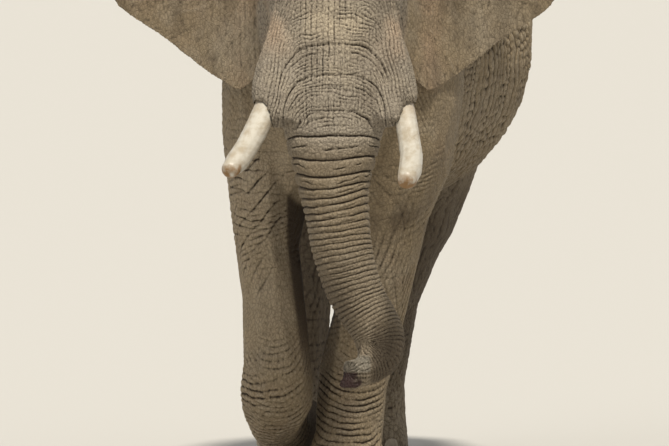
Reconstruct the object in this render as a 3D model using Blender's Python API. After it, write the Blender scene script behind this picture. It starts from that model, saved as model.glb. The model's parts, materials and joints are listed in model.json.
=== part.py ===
"""An African savanna elephant, life size, walking with its right forefoot lifted.

Metres, +Z up, the animal faces -Y and its left side is +X. Its flesh is modelled whole, from tubes and rounds that
are fused into one body, and then parted with thin cuts where a person would name its parts. The ears, the lower jaw,
the tail and the toenails are shaped against that body, and the tusks and eyes sit in sockets cut into it.
"""

import math

import bmesh
import bpy
import numpy as np
from mathutils import Matrix, Vector
from mathutils.bvhtree import BVHTree

# Driving dimensions. The working frame has y = 0 at the line of the shoulders, and the finished model is moved so
# that the origin is under the middle of its bounds.
ORIGIN = Vector((-0.052, 0.424, 0.0))
HEAD_TURN = math.radians(8.5)  # the head looks this far to the animal's left
HEAD_ASIDE = 0.02
GAP = 0.0006  # the width of the cuts between parts of the flesh
CLEARANCE = 0.0012  # round what is shaped against the flesh
SURROUND = 0.05  # how far from a piece the flesh that shapes it is looked at
SHARPEST_FOLD = math.radians(110)
VOXEL = 0.015
SMOOTHING_PASSES = 56
FLESH_TRIANGLES = 3300
EYE_RADIUS = 0.020
TUSK_RADIUS = 0.053

# The trunk of the body along Y: (y, middle x, lowest z, highest z, half width).
BODY = [
    (-0.52, 0.03, 1.76, 2.68, 0.33),
    (-0.27, 0.01, 1.46, 2.87, 0.45),
    (0.00, 0.00, 1.33, 3.01, 0.545),
    (0.36, 0.01, 1.31, 2.96, 0.610),
    (0.76, 0.02, 1.30, 2.86, 0.685),
    (1.16, 0.02, 1.29, 2.89, 0.755),
    (1.52, 0.00, 1.33, 2.94, 0.700),
    (1.86, -0.03, 1.43, 2.83, 0.580),
    (2.12, -0.04, 1.58, 2.56, 0.430),
    (2.28, -0.04, 1.75, 2.32, 0.290),
    (2.36, -0.04, 1.92, 2.12, 0.140),
]

# Tubes: rows of (x, y, z, half width, half depth).
NECK = [
    (0.00, 0.05, 2.22, 0.46, 0.68),
    (0.02, -0.25, 2.24, 0.40, 0.62),
    (0.06, -0.50, 2.32, 0.33, 0.54),
    (0.10, -0.70, 2.40, 0.29, 0.42),
]
FORELEG_LEFT = [
    (0.290, 0.12, 2.60, 0.110, 0.200),
    (0.330, 0.08, 2.28, 0.200, 0.330),
    (0.345, 0.04, 1.95, 0.240, 0.370),
    (0.290, 0.02, 1.60, 0.248, 0.335),
    (0.215, 0.03, 1.36, 0.222, 0.285),
    (0.178, 0.05, 1.08, 0.185, 0.225),
    (0.140, 0.08, 0.86, 0.168, 0.190),
    (0.080, 0.11, 0.66, 0.170, 0.178),
    (0.046, 0.125, 0.50, 0.168, 0.176),
    (0.036, 0.13, 0.36, 0.161, 0.165),
    (0.026, 0.12, 0.22, 0.170, 0.178),
    (0.018, 0.10, 0.10, 0.200, 0.208),
    (0.016, 0.09, 0.02, 0.210, 0.220),
    (0.016, 0.09, -0.08, 0.210, 0.220),
]
FORELEG_RIGHT = [
    (-0.280, 0.12, 2.60, 0.110, 0.200),
    (-0.320, 0.08, 2.28, 0.180, 0.320),
    (-0.340, 0.05, 1.95, 0.215, 0.355),
    (-0.340, 0.02, 1.60, 0.205, 0.315),
    (-0.340, 0.00, 1.38, 0.180, 0.262),
    (-0.330, -0.03, 1.15, 0.152, 0.205),
    (-0.296, -0.07, 0.92, 0.149, 0.175),
    (-0.276, -0.12, 0.69, 0.155, 0.168),
    (-0.268, -0.14, 0.55, 0.173, 0.176),
    (-0.276, -0.12, 0.44, 0.168, 0.165),
    (-0.298, -0.03, 0.365, 0.134, 0.148),
    (-0.304, 0.09, 0.320, 0.120, 0.140),
    (-0.292, 0.24, 0.290, 0.142, 0.160),
    (-0.278, 0.39, 0.268, 0.166, 0.186),
]
HINDLEG_RIGHT = [
    (-0.270, 1.66, 2.62, 0.120, 0.200),
    (-0.310, 1.74, 2.28, 0.210, 0.370),
    (-0.370, 1.72, 1.90, 0.250, 0.46),
    (-0.385, 1.60, 1.55, 0.230, 0.40),
    (-0.388, 1.48, 1.25, 0.200, 0.300),
    (-0.385, 1.36, 1.00, 0.170, 0.235),
    (-0.378, 1.28, 0.76, 0.146, 0.195),
    (-0.368, 1.24, 0.52, 0.130, 0.165),
    (-0.362, 1.22, 0.36, 0.132, 0.158),
    (-0.358, 1.18, 0.20, 0.150, 0.178),
    (-0.356, 1.14, 0.09, 0.178, 0.205),
    (-0.355, 1.13, 0.02, 0.184, 0.213),
    (-0.355, 1.13, -0.08, 0.184, 0.213),
]
HINDLEG_LEFT = [
    (0.240, 1.66, 2.62, 0.120, 0.200),
    (0.270, 1.76, 2.28, 0.210, 0.370),
    (0.280, 1.86, 1.90, 0.250, 0.46),
    (0.210, 1.88, 1.55, 0.230, 0.40),
    (0.128, 1.88, 1.25, 0.200, 0.300),
    (0.024, 1.94, 1.00, 0.168, 0.235),
    (-0.054, 2.06, 0.76, 0.147, 0.190),
    (-0.096, 2.18, 0.52, 0.134, 0.165),
    (-0.134, 2.24, 0.36, 0.136, 0.158),
    (-0.150, 2.24, 0.20, 0.154, 0.180),
    (-0.156, 2.21, 0.09, 0.178, 0.207),
    (-0.156, 2.20, 0.02, 0.184, 0.215),
    (-0.156, 2.20, -0.08, 0.184, 0.215),
]
TAIL = [
    (-0.030, 2.14, 2.36, 0.090, 0.085),
    (-0.035, 2.30, 2.30, 0.070, 0.070),
    (-0.045, 2.42, 2.12, 0.050, 0.052),
    (-0.055, 2.465, 1.84, 0.037, 0.037),
    (-0.065, 2.475, 1.50, 0.028, 0.028),
    (-0.075, 2.47, 1.22, 0.021, 0.021),
]
TAIL_TUFT = [
    (-0.075, 2.470, 1.219, 0.020, 0.022),
    (-0.079, 2.468, 1.100, 0.027, 0.048),
    (-0.084, 2.465, 0.960, 0.028, 0.056),
    (-0.089, 2.462, 0.830, 0.020, 0.038),
    (-0.092, 2.460, 0.740, 0.010, 0.014),
]

# The head's own frame has x across the face, y back from it and z up.
FACE_AND_TRUNK = [
    (0.000, -0.64, 2.88, 0.290, 0.250),
    (0.000, -0.735, 2.62, 0.325, 0.300),
    (0.000, -0.805, 2.38, 0.318, 0.310),
    (0.000, -0.875, 2.14, 0.290, 0.300),
    (0.000, -0.950, 1.95, 0.258, 0.268),
    (-0.004, -1.025, 1.76, 0.226, 0.226),
    (-0.005, -1.045, 1.695, 0.221, 0.214),
    (-0.006, -1.075, 1.60, 0.195, 0.193),
    (-0.003, -1.095, 1.48, 0.163, 0.170),
    (0.0135, -1.105, 1.357, 0.148, 0.154),
    (0.034, -1.105, 1.204, 0.138, 0.144),
    (0.077, -1.100, 1.050, 0.130, 0.134),
    (0.116, -1.095, 0.965, 0.126, 0.128),
    (0.163, -1.095, 0.890, 0.121, 0.122),
    (0.199, -1.100, 0.825, 0.116, 0.116),
    (0.213, -1.110, 0.768, 0.109, 0.110),
    (0.200, -1.128, 0.722, 0.100, 0.100),
    (0.165, -1.155, 0.690, 0.088, 0.090),
    (0.120, -1.190, 0.673, 0.078, 0.080),
    (0.080, -1.220, 0.664, 0.066, 0.070),
]
UPPER_FINGER = [
    (0.130, -1.185, 0.690, 0.055, 0.045),
    (0.096, -1.225, 0.712, 0.050, 0.038),
    (0.080, -1.250, 0.726, 0.038, 0.026),
]
LOWER_FINGER = [
    (0.130, -1.185, 0.648, 0.060, 0.048),
    (0.075, -1.230, 0.614, 0.056, 0.036),
    (0.034, -1.262, 0.598, 0.038, 0.022),
]
SHEATH = [
    (0.150, -0.840, 2.42, 0.120, 0.140),
    (0.198, -0.950, 2.17, 0.104, 0.115),
    (0.250, -1.035, 2.04, 0.096, 0.104),
    (0.284, -1.085, 1.93, 0.090, 0.096),
    (0.300, -1.115, 1.865, 0.076, 0.082),
]
LIP = [
    (0.120, -0.930, 2.24, 0.120, 0.130),
    (0.165, -1.030, 2.02, 0.120, 0.120),
    (0.195, -1.075, 1.88, 0.100, 0.110),
    (0.205, -1.080, 1.78, 0.070, 0.090),
]
# The rim of the tusk's sheath hangs lowest on the tusk's inner side.
RIM = [
    (0.215, -1.030, 1.990, 0.095, 0.095),
    (0.240, -1.130, 1.875, 0.084, 0.086),
    (0.248, -1.192, 1.784, 0.062, 0.060),
]
JAW = [
    (0.0, -0.48, 2.02, 0.280, 0.200),
    (0.0, -0.64, 1.86, 0.250, 0.165),
    (0.0, -0.77, 1.71, 0.180, 0.120),
    (0.0, -0.86, 1.57, 0.105, 0.075),
    (0.0, -0.90, 1.47, 0.052, 0.040),
]
CHEEK = [
    (0.210, -0.62, 2.42, 0.100, 0.190),
    (0.200, -0.63, 2.16, 0.095, 0.170),
    (0.185, -0.64, 1.96, 0.095, 0.140),
]

# Rounds of the head: (centre, radii). Those off the middle have a fellow on the other side.
ROUNDS = [
    ((0.0, -0.56, 2.72), (0.355, 0.42, 0.405)),
    ((0.245, -0.735, 2.50), (0.100, 0.115, 0.075)),
    ((0.250, -0.640, 2.33), (0.090, 0.170, 0.080)),
    ((0.0, -0.84, 2.55), (0.200, 0.170, 0.260)),
]

# Tusks: each leaves its sheath, spreads, and comes forward and up.
TUSK_RIGHT = [
    (-0.262, -1.02, 2.005, 0.96, 0.96),
    (-0.308, -1.12, 1.835, 1.04, 1.04),
    (-0.350, -1.24, 1.742, 1.05, 1.05),
    (-0.392, -1.37, 1.668, 1.00, 1.00),
    (-0.430, -1.49, 1.614, 1.00, 1.00),
    (-0.458, -1.58, 1.583, 0.80, 0.80),
]
TUSK_LEFT = [
    (0.262, -1.02, 2.005, 0.92, 0.92),
    (0.312, -1.12, 1.825, 0.97, 0.97),
    (0.331, -1.24, 1.712, 0.97, 0.97),
    (0.342, -1.38, 1.632, 1.00, 1.00),
    (0.335, -1.51, 1.576, 1.02, 1.02),
    (0.320, -1.61, 1.540, 0.86, 0.86),
]

# The ear's edge in the head's frame, from the top of its root round to the bottom: (x, z).
EAR_EDGE = [
    (0.330, 3.00), (0.430, 3.13), (0.640, 3.205), (0.870, 3.16), (1.040, 3.02), (1.125, 2.80), (1.120, 2.54),
    (1.050, 2.32), (0.960, 2.225), (0.800, 2.125), (0.700, 2.050), (0.600, 1.975), (0.500, 1.915), (0.430, 1.885),
    (0.345, 1.960),
]
EAR_ROOT_X, EAR_ROOT_Y = 0.27, -0.50
EAR_SWEEP = math.radians(40)
EAR_THICKNESS = 0.036
EAR_RIM = 0.55  # the rim's thickness as a share of the root's

# The feet: (the limb's row at the sole, the toes' yaw, the foot's tilt, the number of toenails).
FEET = {
    "foot_front_left": (FORELEG_LEFT[-2], 0.05, 0.0, 4),
    "foot_front_right": (FORELEG_RIGHT[-1], 0.0, math.radians(62), 4),
    "foot_hind_left": (HINDLEG_LEFT[-2], 0.05, 0.0, 3),
    "foot_hind_right": (HINDLEG_RIGHT[-2], -0.08, 0.0, 3),
}
NAIL_SPREAD = math.radians(33)
NAIL_SIZE = (0.041, 0.018, 0.040)
NAIL_HEIGHT = 0.052


def material(name, colour, roughness):
    made = bpy.data.materials.new(name)
    made.use_nodes = True
    shader = made.node_tree.nodes["Principled BSDF"]
    shader.inputs["Base Color"].default_value = (*colour, 1.0)
    shader.inputs["Roughness"].default_value = roughness
    shader.inputs["Metallic"].default_value = 0.0
    return made


def from_head(point):
    """A point of the head's frame in the working frame."""
    x, y, z = point[0] - HEAD_ASIDE, point[1], point[2]
    turn, lean = math.cos(HEAD_TURN), math.sin(HEAD_TURN)
    return Vector((x * turn - y * lean, x * lean + y * turn, z))


def head_rows(rows, side=1):
    """Rows of the head's frame moved to the working frame, mirrored where side is -1."""
    return [(*from_head((side * row[0], row[1], row[2])), *row[3:]) for row in rows]


def curve_through(rows, steps):
    """Rows on a Catmull-Rom curve through the given ones, with this many steps to a span."""
    rows = np.array(rows, float)
    padded = np.vstack([2 * rows[0] - rows[1], rows, 2 * rows[-1] - rows[-2]])
    found = []
    for i in range(1, len(padded) - 2):
        before, start, end, after = padded[i - 1 : i + 3]
        for k in range(steps):
            t = k / steps
            bend = (2 * before - 5 * start + 4 * end - after) * t**2
            twist = (3 * start - before - 3 * end + after) * t**3
            found.append(0.5 * (2 * start + (end - before) * t + bend + twist))
    return np.array(found + [rows[-1]])


def object_of(name, vertices, faces):
    mesh = bpy.data.meshes.new(name)
    mesh.from_pydata([tuple(v) for v in vertices], [], faces)
    shape = bmesh.new()
    shape.from_mesh(mesh)
    bmesh.ops.recalc_face_normals(shape, faces=shape.faces)
    shape.to_mesh(mesh)
    shape.free()
    made = bpy.data.objects.new(name, mesh)
    bpy.context.collection.objects.link(made)
    return made


def skin_of_rings(rings):
    """The faces that join equal rings one to the next and close both ends."""
    count, around = len(rings), len(rings[0])
    faces = [
        (i * around + j, i * around + (j + 1) % around, (i + 1) * around + (j + 1) % around, (i + 1) * around + j)
        for i in range(count - 1)
        for j in range(around)
    ]
    faces.append(tuple(reversed(range(around))))
    faces.append(tuple((count - 1) * around + j for j in range(around)))
    return faces


def tube(name, rows, around=24, steps=3, round_end=0.5, grow=0.0):
    """A tube through rows of (x, y, z, half width, half depth), its far end rounded and its width across X.

    grow makes it larger all round, its near end included, as the cutter for a socket.
    """
    path = curve_through(rows, steps)
    centres, halves = path[:, :3], path[:, 3:5] + grow
    centres[0] -= np.array(Vector(centres[1] - centres[0]).normalized()) * grow
    heading = Vector(centres[-1] - centres[-2]).normalized()
    reach = round_end * halves[-1].min()
    for share in np.linspace(0, 0.94, 5)[1:] if round_end else ():
        centres = np.vstack([centres, path[-1, :3] + np.array(heading) * reach * share])
        halves = np.vstack([halves, (path[-1, 3:5] + grow) * math.sqrt(1 - share * share)])
    ahead = np.gradient(centres, axis=0)
    side = Vector((1, 0, 0))
    rings = []
    for centre, half, way in zip(centres, halves, ahead):
        way = Vector(way).normalized()
        side = (side - way * side.dot(way)).normalized()
        deep = way.cross(side)
        turns = [2 * math.pi * j / around for j in range(around)]
        rings.append(
            [Vector(centre) + side * half[0] * math.cos(a) + deep * half[1] * math.sin(a) for a in turns]
        )
    return object_of(name, [v for ring in rings for v in ring], skin_of_rings(rings))


def body_tube():
    """The body from chest to rump, with egg-shaped sections: fuller below and narrower over the spine."""
    around = 40
    rings = []
    for y, middle, low, high, half in curve_through(BODY, 3):
        centre = low + 0.50 * (high - low)
        ring = []
        for j in range(around):
            angle = 2 * math.pi * j / around
            across, up = math.cos(angle), math.sin(angle)
            fullness = 1.0 if up < 0 else 1.14
            across = math.copysign(abs(across) ** fullness, across)
            rise = (high - centre) if up > 0 else (centre - low)
            ring.append((middle + half * across, y, centre + rise * up))
        rings.append(ring)
    return object_of("body", [v for ring in rings for v in ring], skin_of_rings(rings))


def ellipsoid(name, centre, radii, turn=0.0, detail=3):
    """A round with these half sizes, turned about Z: an icosphere of this detail, or a coarse round for 0."""
    made = bpy.data.objects.new(name, bpy.data.meshes.new(name))
    bpy.context.collection.objects.link(made)
    shape = bmesh.new()
    if detail:
        bmesh.ops.create_icosphere(shape, subdivisions=detail, radius=1.0)
    else:
        bmesh.ops.create_uvsphere(shape, u_segments=8, v_segments=4, radius=1.0)
    bmesh.ops.scale(shape, vec=radii, verts=shape.verts)
    bmesh.ops.rotate(shape, cent=(0, 0, 0), matrix=Matrix.Rotation(turn, 3, "Z"), verts=shape.verts)
    bmesh.ops.translate(shape, vec=centre, verts=shape.verts)
    shape.to_mesh(made.data)
    shape.free()
    return made


def joined(name, pieces):
    """One object of the pieces' meshes, side by side."""
    shape = bmesh.new()
    for piece in pieces:
        shape.from_mesh(piece.data)
    mesh = bpy.data.meshes.new(name)
    shape.to_mesh(mesh)
    shape.free()
    for piece in pieces:
        bpy.data.objects.remove(piece)
    made = bpy.data.objects.new(name, mesh)
    bpy.context.collection.objects.link(made)
    return made


def apply_modifiers(made):
    """The object's mesh as its modifiers leave it, and no modifiers."""
    bpy.context.view_layer.update()
    seen = made.evaluated_get(bpy.context.evaluated_depsgraph_get())
    mesh = bpy.data.meshes.new_from_object(seen)
    made.modifiers.clear()
    made.data = mesh
    return made


def fused(made, voxel):
    remesh = made.modifiers.new("fuse", "REMESH")
    remesh.mode = "VOXEL"
    remesh.voxel_size = voxel
    return apply_modifiers(made)


def weigh(made, name, weight):
    """A vertex group whose weights come from weight(point)."""
    group = made.vertex_groups.new(name=name)
    for vertex in made.data.vertices:
        group.add([vertex.index], weight(vertex.co), "REPLACE")


def softness(point):
    """How much a point is smoothed: most where the limbs run into the body, least at the face and the feet."""
    if point.z < 0.34 or point.y < -0.62:
        return 0.10
    return float(np.interp(point.z, (1.10, 1.45), (0.24, 1.0)))


def coarseness(point):
    """How far a point may be simplified: the head and trunk keep more of their triangles."""
    return 0.30 if point.y < -0.58 else 1.0


def soften(made, passes):
    weigh(made, "softness", softness)
    smooth = made.modifiers.new("smooth", "SMOOTH")
    smooth.factor = 0.5
    smooth.iterations = passes
    smooth.vertex_group = "softness"
    return apply_modifiers(made)


def simplify(made, triangles):
    weigh(made, "coarseness", coarseness)
    count = sum(len(face.vertices) - 2 for face in made.data.polygons)
    decimate = made.modifiers.new("simplify", "DECIMATE")
    decimate.ratio = triangles / count
    decimate.use_collapse_triangulate = True
    decimate.vertex_group = "coarseness"
    decimate.vertex_group_factor = 0.7
    return unfolded(apply_modifiers(made))


def unfolded(made):
    """The object with the few vertices that simplifying folded over drawn to the middle of their neighbours."""
    shape = bmesh.new()
    shape.from_mesh(made.data)
    for _ in range(6):
        shape.normal_update()
        folds = [edge for edge in shape.edges if edge.calc_face_angle() > SHARPEST_FOLD]
        ends = list({vertex for edge in folds for vertex in edge.verts})
        bmesh.ops.smooth_vert(shape, verts=ends, factor=0.5, use_axis_x=True, use_axis_y=True, use_axis_z=True)
    shape.to_mesh(made.data)
    shape.free()
    return made


def cut_away(made, cutter, operation="DIFFERENCE"):
    """The object less the cutter, or only what lies in it. The cutter is removed."""
    boolean = made.modifiers.new("cut", "BOOLEAN")
    boolean.operation = operation
    boolean.solver = "EXACT"
    boolean.object = cutter
    apply_modifiers(made)
    bpy.data.objects.remove(cutter)
    return made


def swollen(made, by):
    """A copy of the object with its surface moved out by this much."""
    copy = bpy.data.objects.new("swollen", made.data.copy())
    bpy.context.collection.objects.link(copy)
    displace = copy.modifiers.new("swell", "DISPLACE")
    displace.strength = by
    displace.mid_level = 0.0
    return apply_modifiers(copy)


def block(centre, size, along=(0, 0, 1)):
    """A box with its third side along a direction."""
    made = object_of("block", *box_mesh(size))
    spin = Vector((0, 0, 1)).rotation_difference(Vector(along).normalized()).to_matrix().to_4x4()
    made.data.transform(Matrix.Translation(centre) @ spin)
    return made


def box_mesh(size):
    x, y, z = (side / 2 for side in size)
    corners = [(a * x, b * y, c * z) for a in (-1, 1) for b in (-1, 1) for c in (-1, 1)]
    faces = [(0, 1, 3, 2), (4, 6, 7, 5), (0, 4, 5, 1), (2, 3, 7, 6), (0, 2, 6, 4), (1, 5, 7, 3)]
    return corners, faces


def mirrored_pair(build):
    """build(side) for the animal's left (1) and right (-1)."""
    return [build(1), build(-1)]


def flesh_blank():
    """Everything that is one body of flesh, before it is parted."""
    pieces = [
        body_tube(),
        tube("neck", NECK, around=32),
        tube("foreleg_left", FORELEG_LEFT),
        tube("foreleg_right", FORELEG_RIGHT, round_end=0.25),
        tube("hindleg_right", HINDLEG_RIGHT),
        tube("hindleg_left", HINDLEG_LEFT),
        tube("face_and_trunk", head_rows(FACE_AND_TRUNK), around=32),
        tube("upper_finger", head_rows(UPPER_FINGER)),
        tube("lower_finger", head_rows(LOWER_FINGER)),
    ]
    pieces += mirrored_pair(lambda side: tube("sheath", head_rows(SHEATH, side)))
    pieces += mirrored_pair(lambda side: tube("lip", head_rows(LIP, side)))
    pieces += mirrored_pair(lambda side: tube("rim", head_rows(RIM, side)))
    pieces += mirrored_pair(lambda side: tube("cheek", head_rows(CHEEK, side)))
    for centre, radii in ROUNDS:
        for side in (1, -1) if centre[0] else (1,):
            place = from_head((side * centre[0], centre[1], centre[2]))
            pieces.append(ellipsoid("round", place, radii, HEAD_TURN))
    made = fused(joined("flesh", pieces), VOXEL)
    soften(made, SMOOTHING_PASSES)
    simplify(made, FLESH_TRIANGLES)
    return cut_away(made, block((0, 1, -0.5), (6, 8, 1)))


def ear(name, side):
    """One ear: a sheet that thins to its rim, swept back and a little hollow in front."""
    edge = curve_through(EAR_EDGE, 2)
    spans, layers = len(edge), 3
    top, bottom = edge[0][1] - 0.06, edge[-1][1] + 0.06
    front, back = [], []
    for i, (x, z) in enumerate(edge):
        share = i / (spans - 1)
        root_z = top + (bottom - top) * share
        for k in range(layers):
            out = k / (layers - 1)
            px = EAR_ROOT_X + (x - EAR_ROOT_X) * out
            pz = root_z + (z - root_z) * out
            away = px - EAR_ROOT_X
            hollow = 0.07 * math.sin(math.pi * min(1.0, away / 0.85))
            rolled = 0.10 * max(0.0, pz - 2.98) / 0.2
            lobe = -0.05 * max(0.0, 2.25 - pz) / 0.35
            py = EAR_ROOT_Y + away * math.tan(EAR_SWEEP) + hollow + rolled + lobe
            half = EAR_THICKNESS / 2 * (1 - (1 - EAR_RIM) * out**2)
            normal = Vector((-math.sin(EAR_SWEEP), math.cos(EAR_SWEEP), 0))
            here = Vector((px, py, pz))
            front.append(from_head_side(here - normal * half, side))
            back.append(from_head_side(here + normal * half, side))
    faces = []
    size = spans * layers

    def at(i, k, sheet):
        return sheet * size + i * layers + k

    for i in range(spans - 1):
        for k in range(layers - 1):
            faces.append((at(i, k, 0), at(i, k + 1, 0), at(i + 1, k + 1, 0), at(i + 1, k, 0)))
            faces.append((at(i, k, 1), at(i + 1, k, 1), at(i + 1, k + 1, 1), at(i, k + 1, 1)))
        for k in (0, layers - 1):
            faces.append((at(i, k, 0), at(i + 1, k, 0), at(i + 1, k, 1), at(i, k, 1)))
    for i in (0, spans - 1):
        for k in range(layers - 1):
            faces.append((at(i, k, 0), at(i, k, 1), at(i, k + 1, 1), at(i, k + 1, 0)))
    return object_of(name, front + back, faces)


def from_head_side(point, side):
    return from_head((side * point[0], point[1], point[2]))


def tusk(name, rows, grow=0.0):
    scaled = [(*row[:3], row[3] * TUSK_RADIUS, row[4] * TUSK_RADIUS) for row in rows]
    return tube(name, head_rows(scaled), around=12, steps=1, round_end=0.9, grow=grow)


def eye(name, side, surface, grow=0.0):
    """The eyeball, sunk so that a third of its depth stands in the opening."""
    inside = from_head((side * 0.10, -0.80, 2.405))
    outside = from_head((side * 0.60, -0.80, 2.405))
    found, _, _, _ = surface.ray_cast(outside, inside - outside)
    centre = found + (inside - outside).normalized() * EYE_RADIUS * 0.55
    radius = EYE_RADIUS + grow
    return ellipsoid(name, centre, (radius, radius, radius), detail=2)


def nails(foot, sole, yaw, tilt, count, surface):
    """The toenails of one foot: flat rounds lying on the front of its rim."""
    made = []
    middle = Vector(sole[:3])
    middle.z = max(middle.z, 0.0) if tilt else 0.0
    lean = Matrix.Rotation(tilt, 3, "X")
    for k in range(count):
        angle = yaw + (k - (count - 1) / 2) * NAIL_SPREAD
        out = Vector((math.sin(angle), -math.cos(angle), 0))
        start = middle + lean @ (Vector((0, 0, NAIL_HEIGHT)) + out * 0.5)
        found, _, _, _ = surface.ray_cast(start, -(lean @ out))
        nail = ellipsoid(f"nail_{foot[5:]}_{k + 1}", (0, 0, 0), NAIL_SIZE, detail=0)
        spin = lean @ Matrix.Rotation(angle, 3, "Z")
        nail.data.transform(Matrix.Translation(found) @ spin.to_4x4())
        made.append(nail)
    return made


# Thin cuts that part the flesh. Those of the body: (middle, (width, height), direction across the cut).
BODY_CUTS = [
    ((0.05, -0.46, 2.35), (1.6, 2.0), (0.05, -1.0, 0.10)),
    ((0.00, -0.27, 2.20), (1.5, 2.0), (0.00, -1.0, 0.18)),
    ((0.00, 0.44, 2.10), (2.2, 2.2), (0.0, 1.0, 0.0)),
    ((0.00, 1.27, 2.10), (2.2, 2.1), (0.0, 1.0, -0.20)),
]
# Those of the limbs: the limb's rows, and the heights where it is cut straight across its middle, each with the
# cut's reach as a share of the limb's own half widths there.
LIMB_CUTS = [
    (FORELEG_LEFT, ((1.16, 1.35), (0.54, 1.2), (0.22, 1.2))),
    (FORELEG_RIGHT, ((1.16, 1.35), (0.66, 1.2), (0.305, 1.12))),
    (HINDLEG_LEFT, ((1.07, 1.35), (0.58, 1.2), (0.20, 1.2))),
    (HINDLEG_RIGHT, ((1.07, 1.35), (0.58, 1.2), (0.20, 1.2))),
    (head_rows(FACE_AND_TRUNK), ((1.70, 1.3), (1.28, 1.2), (0.90, 1.2))),
]
# A point near the middle of each part that the cuts make.
FLESH_PARTS = {
    "head": (0.08, -0.80, 2.40),
    "neck": (0.03, -0.38, 2.25),
    "forequarters": (0.0, 0.10, 2.05),
    "barrel": (0.0, 0.85, 2.00),
    "rump": (0.0, 1.75, 1.95),
    "trunk_upper": (0.14, -1.09, 1.50),
    "trunk_middle": (0.20, -1.10, 1.10),
    "trunk_tip": (0.35, -1.10, 0.74),
    "leg_front_left_upper": (0.14, 0.08, 0.85),
    "leg_front_left_lower": (0.03, 0.12, 0.38),
    "foot_front_left": (0.01, 0.13, 0.10),
    "leg_front_right_upper": (-0.30, -0.08, 0.90),
    "leg_front_right_lower": (-0.28, -0.05, 0.46),
    "foot_front_right": (-0.27, 0.32, 0.26),
    "leg_hind_left_upper": (0.00, 1.98, 0.82),
    "leg_hind_left_lower": (-0.12, 2.20, 0.40),
    "foot_hind_left": (-0.15, 2.20, 0.10),
    "leg_hind_right_upper": (-0.38, 1.32, 0.82),
    "leg_hind_right_lower": (-0.36, 1.22, 0.40),
    "foot_hind_right": (-0.36, 1.14, 0.10),
}


def limb_slabs():
    """A thin round plate across each limb at each of its cut heights."""
    slabs = []
    for rows, cuts in LIMB_CUTS:
        path = curve_through(rows, 8)
        for height, reach in cuts:
            i = int(np.argmin(np.abs(path[:, 2] - height)))
            along = Vector(path[i + 1, :3] - path[i - 1, :3]).normalized()
            width, depth = path[i, 3:5] * reach
            ends = [Vector(path[i, :3]) + along * GAP * share for share in (-0.5, 0.5)]
            plate = [(*end, width, depth) for end in ends]
            slabs.append(tube("plate", plate, around=16, steps=1, round_end=0.0))
    return slabs


def body_slabs():
    slabs = []
    for middle, (width, height), across in BODY_CUTS:
        slabs.append(block(middle, (width, height, GAP), across))
    return slabs


def part_flesh(flesh):
    """Cuts the flesh with the thin blocks and names each piece after the nearest part."""
    for slab in body_slabs() + limb_slabs():
        cut_away(flesh, slab)
    bpy.ops.object.select_all(action="DESELECT")
    bpy.context.view_layer.objects.active = flesh
    flesh.select_set(True)
    bpy.ops.mesh.separate(type="LOOSE")
    pieces = list(bpy.context.selected_objects)
    for name, place in FLESH_PARTS.items():
        nearest = min(pieces, key=lambda piece: (middle_of(piece) - Vector(place)).length)
        pieces.remove(nearest)
        nearest.name = name
        nearest.data.name = name
        nearest.data.materials.append(SKIN)
    if pieces:
        raise RuntimeError(f"pieces with no name: {[tuple(middle_of(p)) for p in pieces]}")


def middle_of(piece):
    corners = [Vector(corner) for corner in piece.bound_box]
    return sum(corners, Vector()) / len(corners)


def part_round(made, neighbour):
    """A copy of as much of the neighbour as lies round the object."""
    corners = [Vector(corner) for corner in made.bound_box]
    size = (corners[6] - corners[0]) + Vector((1, 1, 1)) * 2 * SURROUND
    return cut_away(swollen(neighbour, 0.0), block(middle_of(made), size), "INTERSECT")


def shaped_against(made, neighbour, colour):
    """The object cut to lie just off its neighbour's surface, by less where the neighbour is sharply creased."""
    bpy.context.view_layer.update()
    near = part_round(made, neighbour)
    for off in (CLEARANCE, CLEARANCE / 8):
        cut_away(made, swollen(near, off))
    bpy.data.objects.remove(near)
    made.data.materials.clear()
    made.data.materials.append(colour)
    return made


def finish(origin):
    """Moves everything to the final origin and shades it smooth."""
    for made in bpy.data.objects:
        made.data.transform(Matrix.Translation(-origin))
        made.data.shade_smooth()
        made.data.set_sharp_from_angle(angle=math.radians(50))


for leftover in list(bpy.data.objects):
    bpy.data.objects.remove(leftover)

SKIN = material("skin", (0.23, 0.19, 0.15), 0.85)
IVORY = material("ivory", (0.80, 0.73, 0.60), 0.40)
EYE = material("eye", (0.05, 0.025, 0.012), 0.10)
NAIL = material("nail", (0.45, 0.39, 0.31), 0.60)
HAIR = material("hair", (0.03, 0.025, 0.02), 0.70)

whole = flesh_blank()
outside = BVHTree.FromObject(whole, bpy.context.evaluated_depsgraph_get())

for tusk_name, tusk_rows in (("tusk_left", TUSK_LEFT), ("tusk_right", TUSK_RIGHT)):
    cut_away(whole, tusk("socket", tusk_rows, GAP))
    tusk(tusk_name, tusk_rows).data.materials.append(IVORY)
for eye_name, eye_side in (("eye_left", 1), ("eye_right", -1)):
    cut_away(whole, eye("socket", eye_side, outside, GAP))
    eye(eye_name, eye_side, outside).data.materials.append(EYE)

for ear_name, ear_side in (("ear_left", 1), ("ear_right", -1)):
    shaped_against(ear(ear_name, ear_side), whole, SKIN)
shaped_against(tube("jaw", head_rows(JAW), around=12, steps=1), whole, SKIN)
tail = shaped_against(tube("tail", TAIL, around=8, steps=1), whole, SKIN)
shaped_against(tube("tail_tuft", TAIL_TUFT, around=8, steps=1), tail, HAIR)
for foot_name, (sole, yaw, tilt, toes) in FEET.items():
    for toenail in nails(foot_name, sole, yaw, tilt, toes, outside):
        shaped_against(toenail, whole, NAIL)

part_flesh(whole)
finish(ORIGIN)
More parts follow.
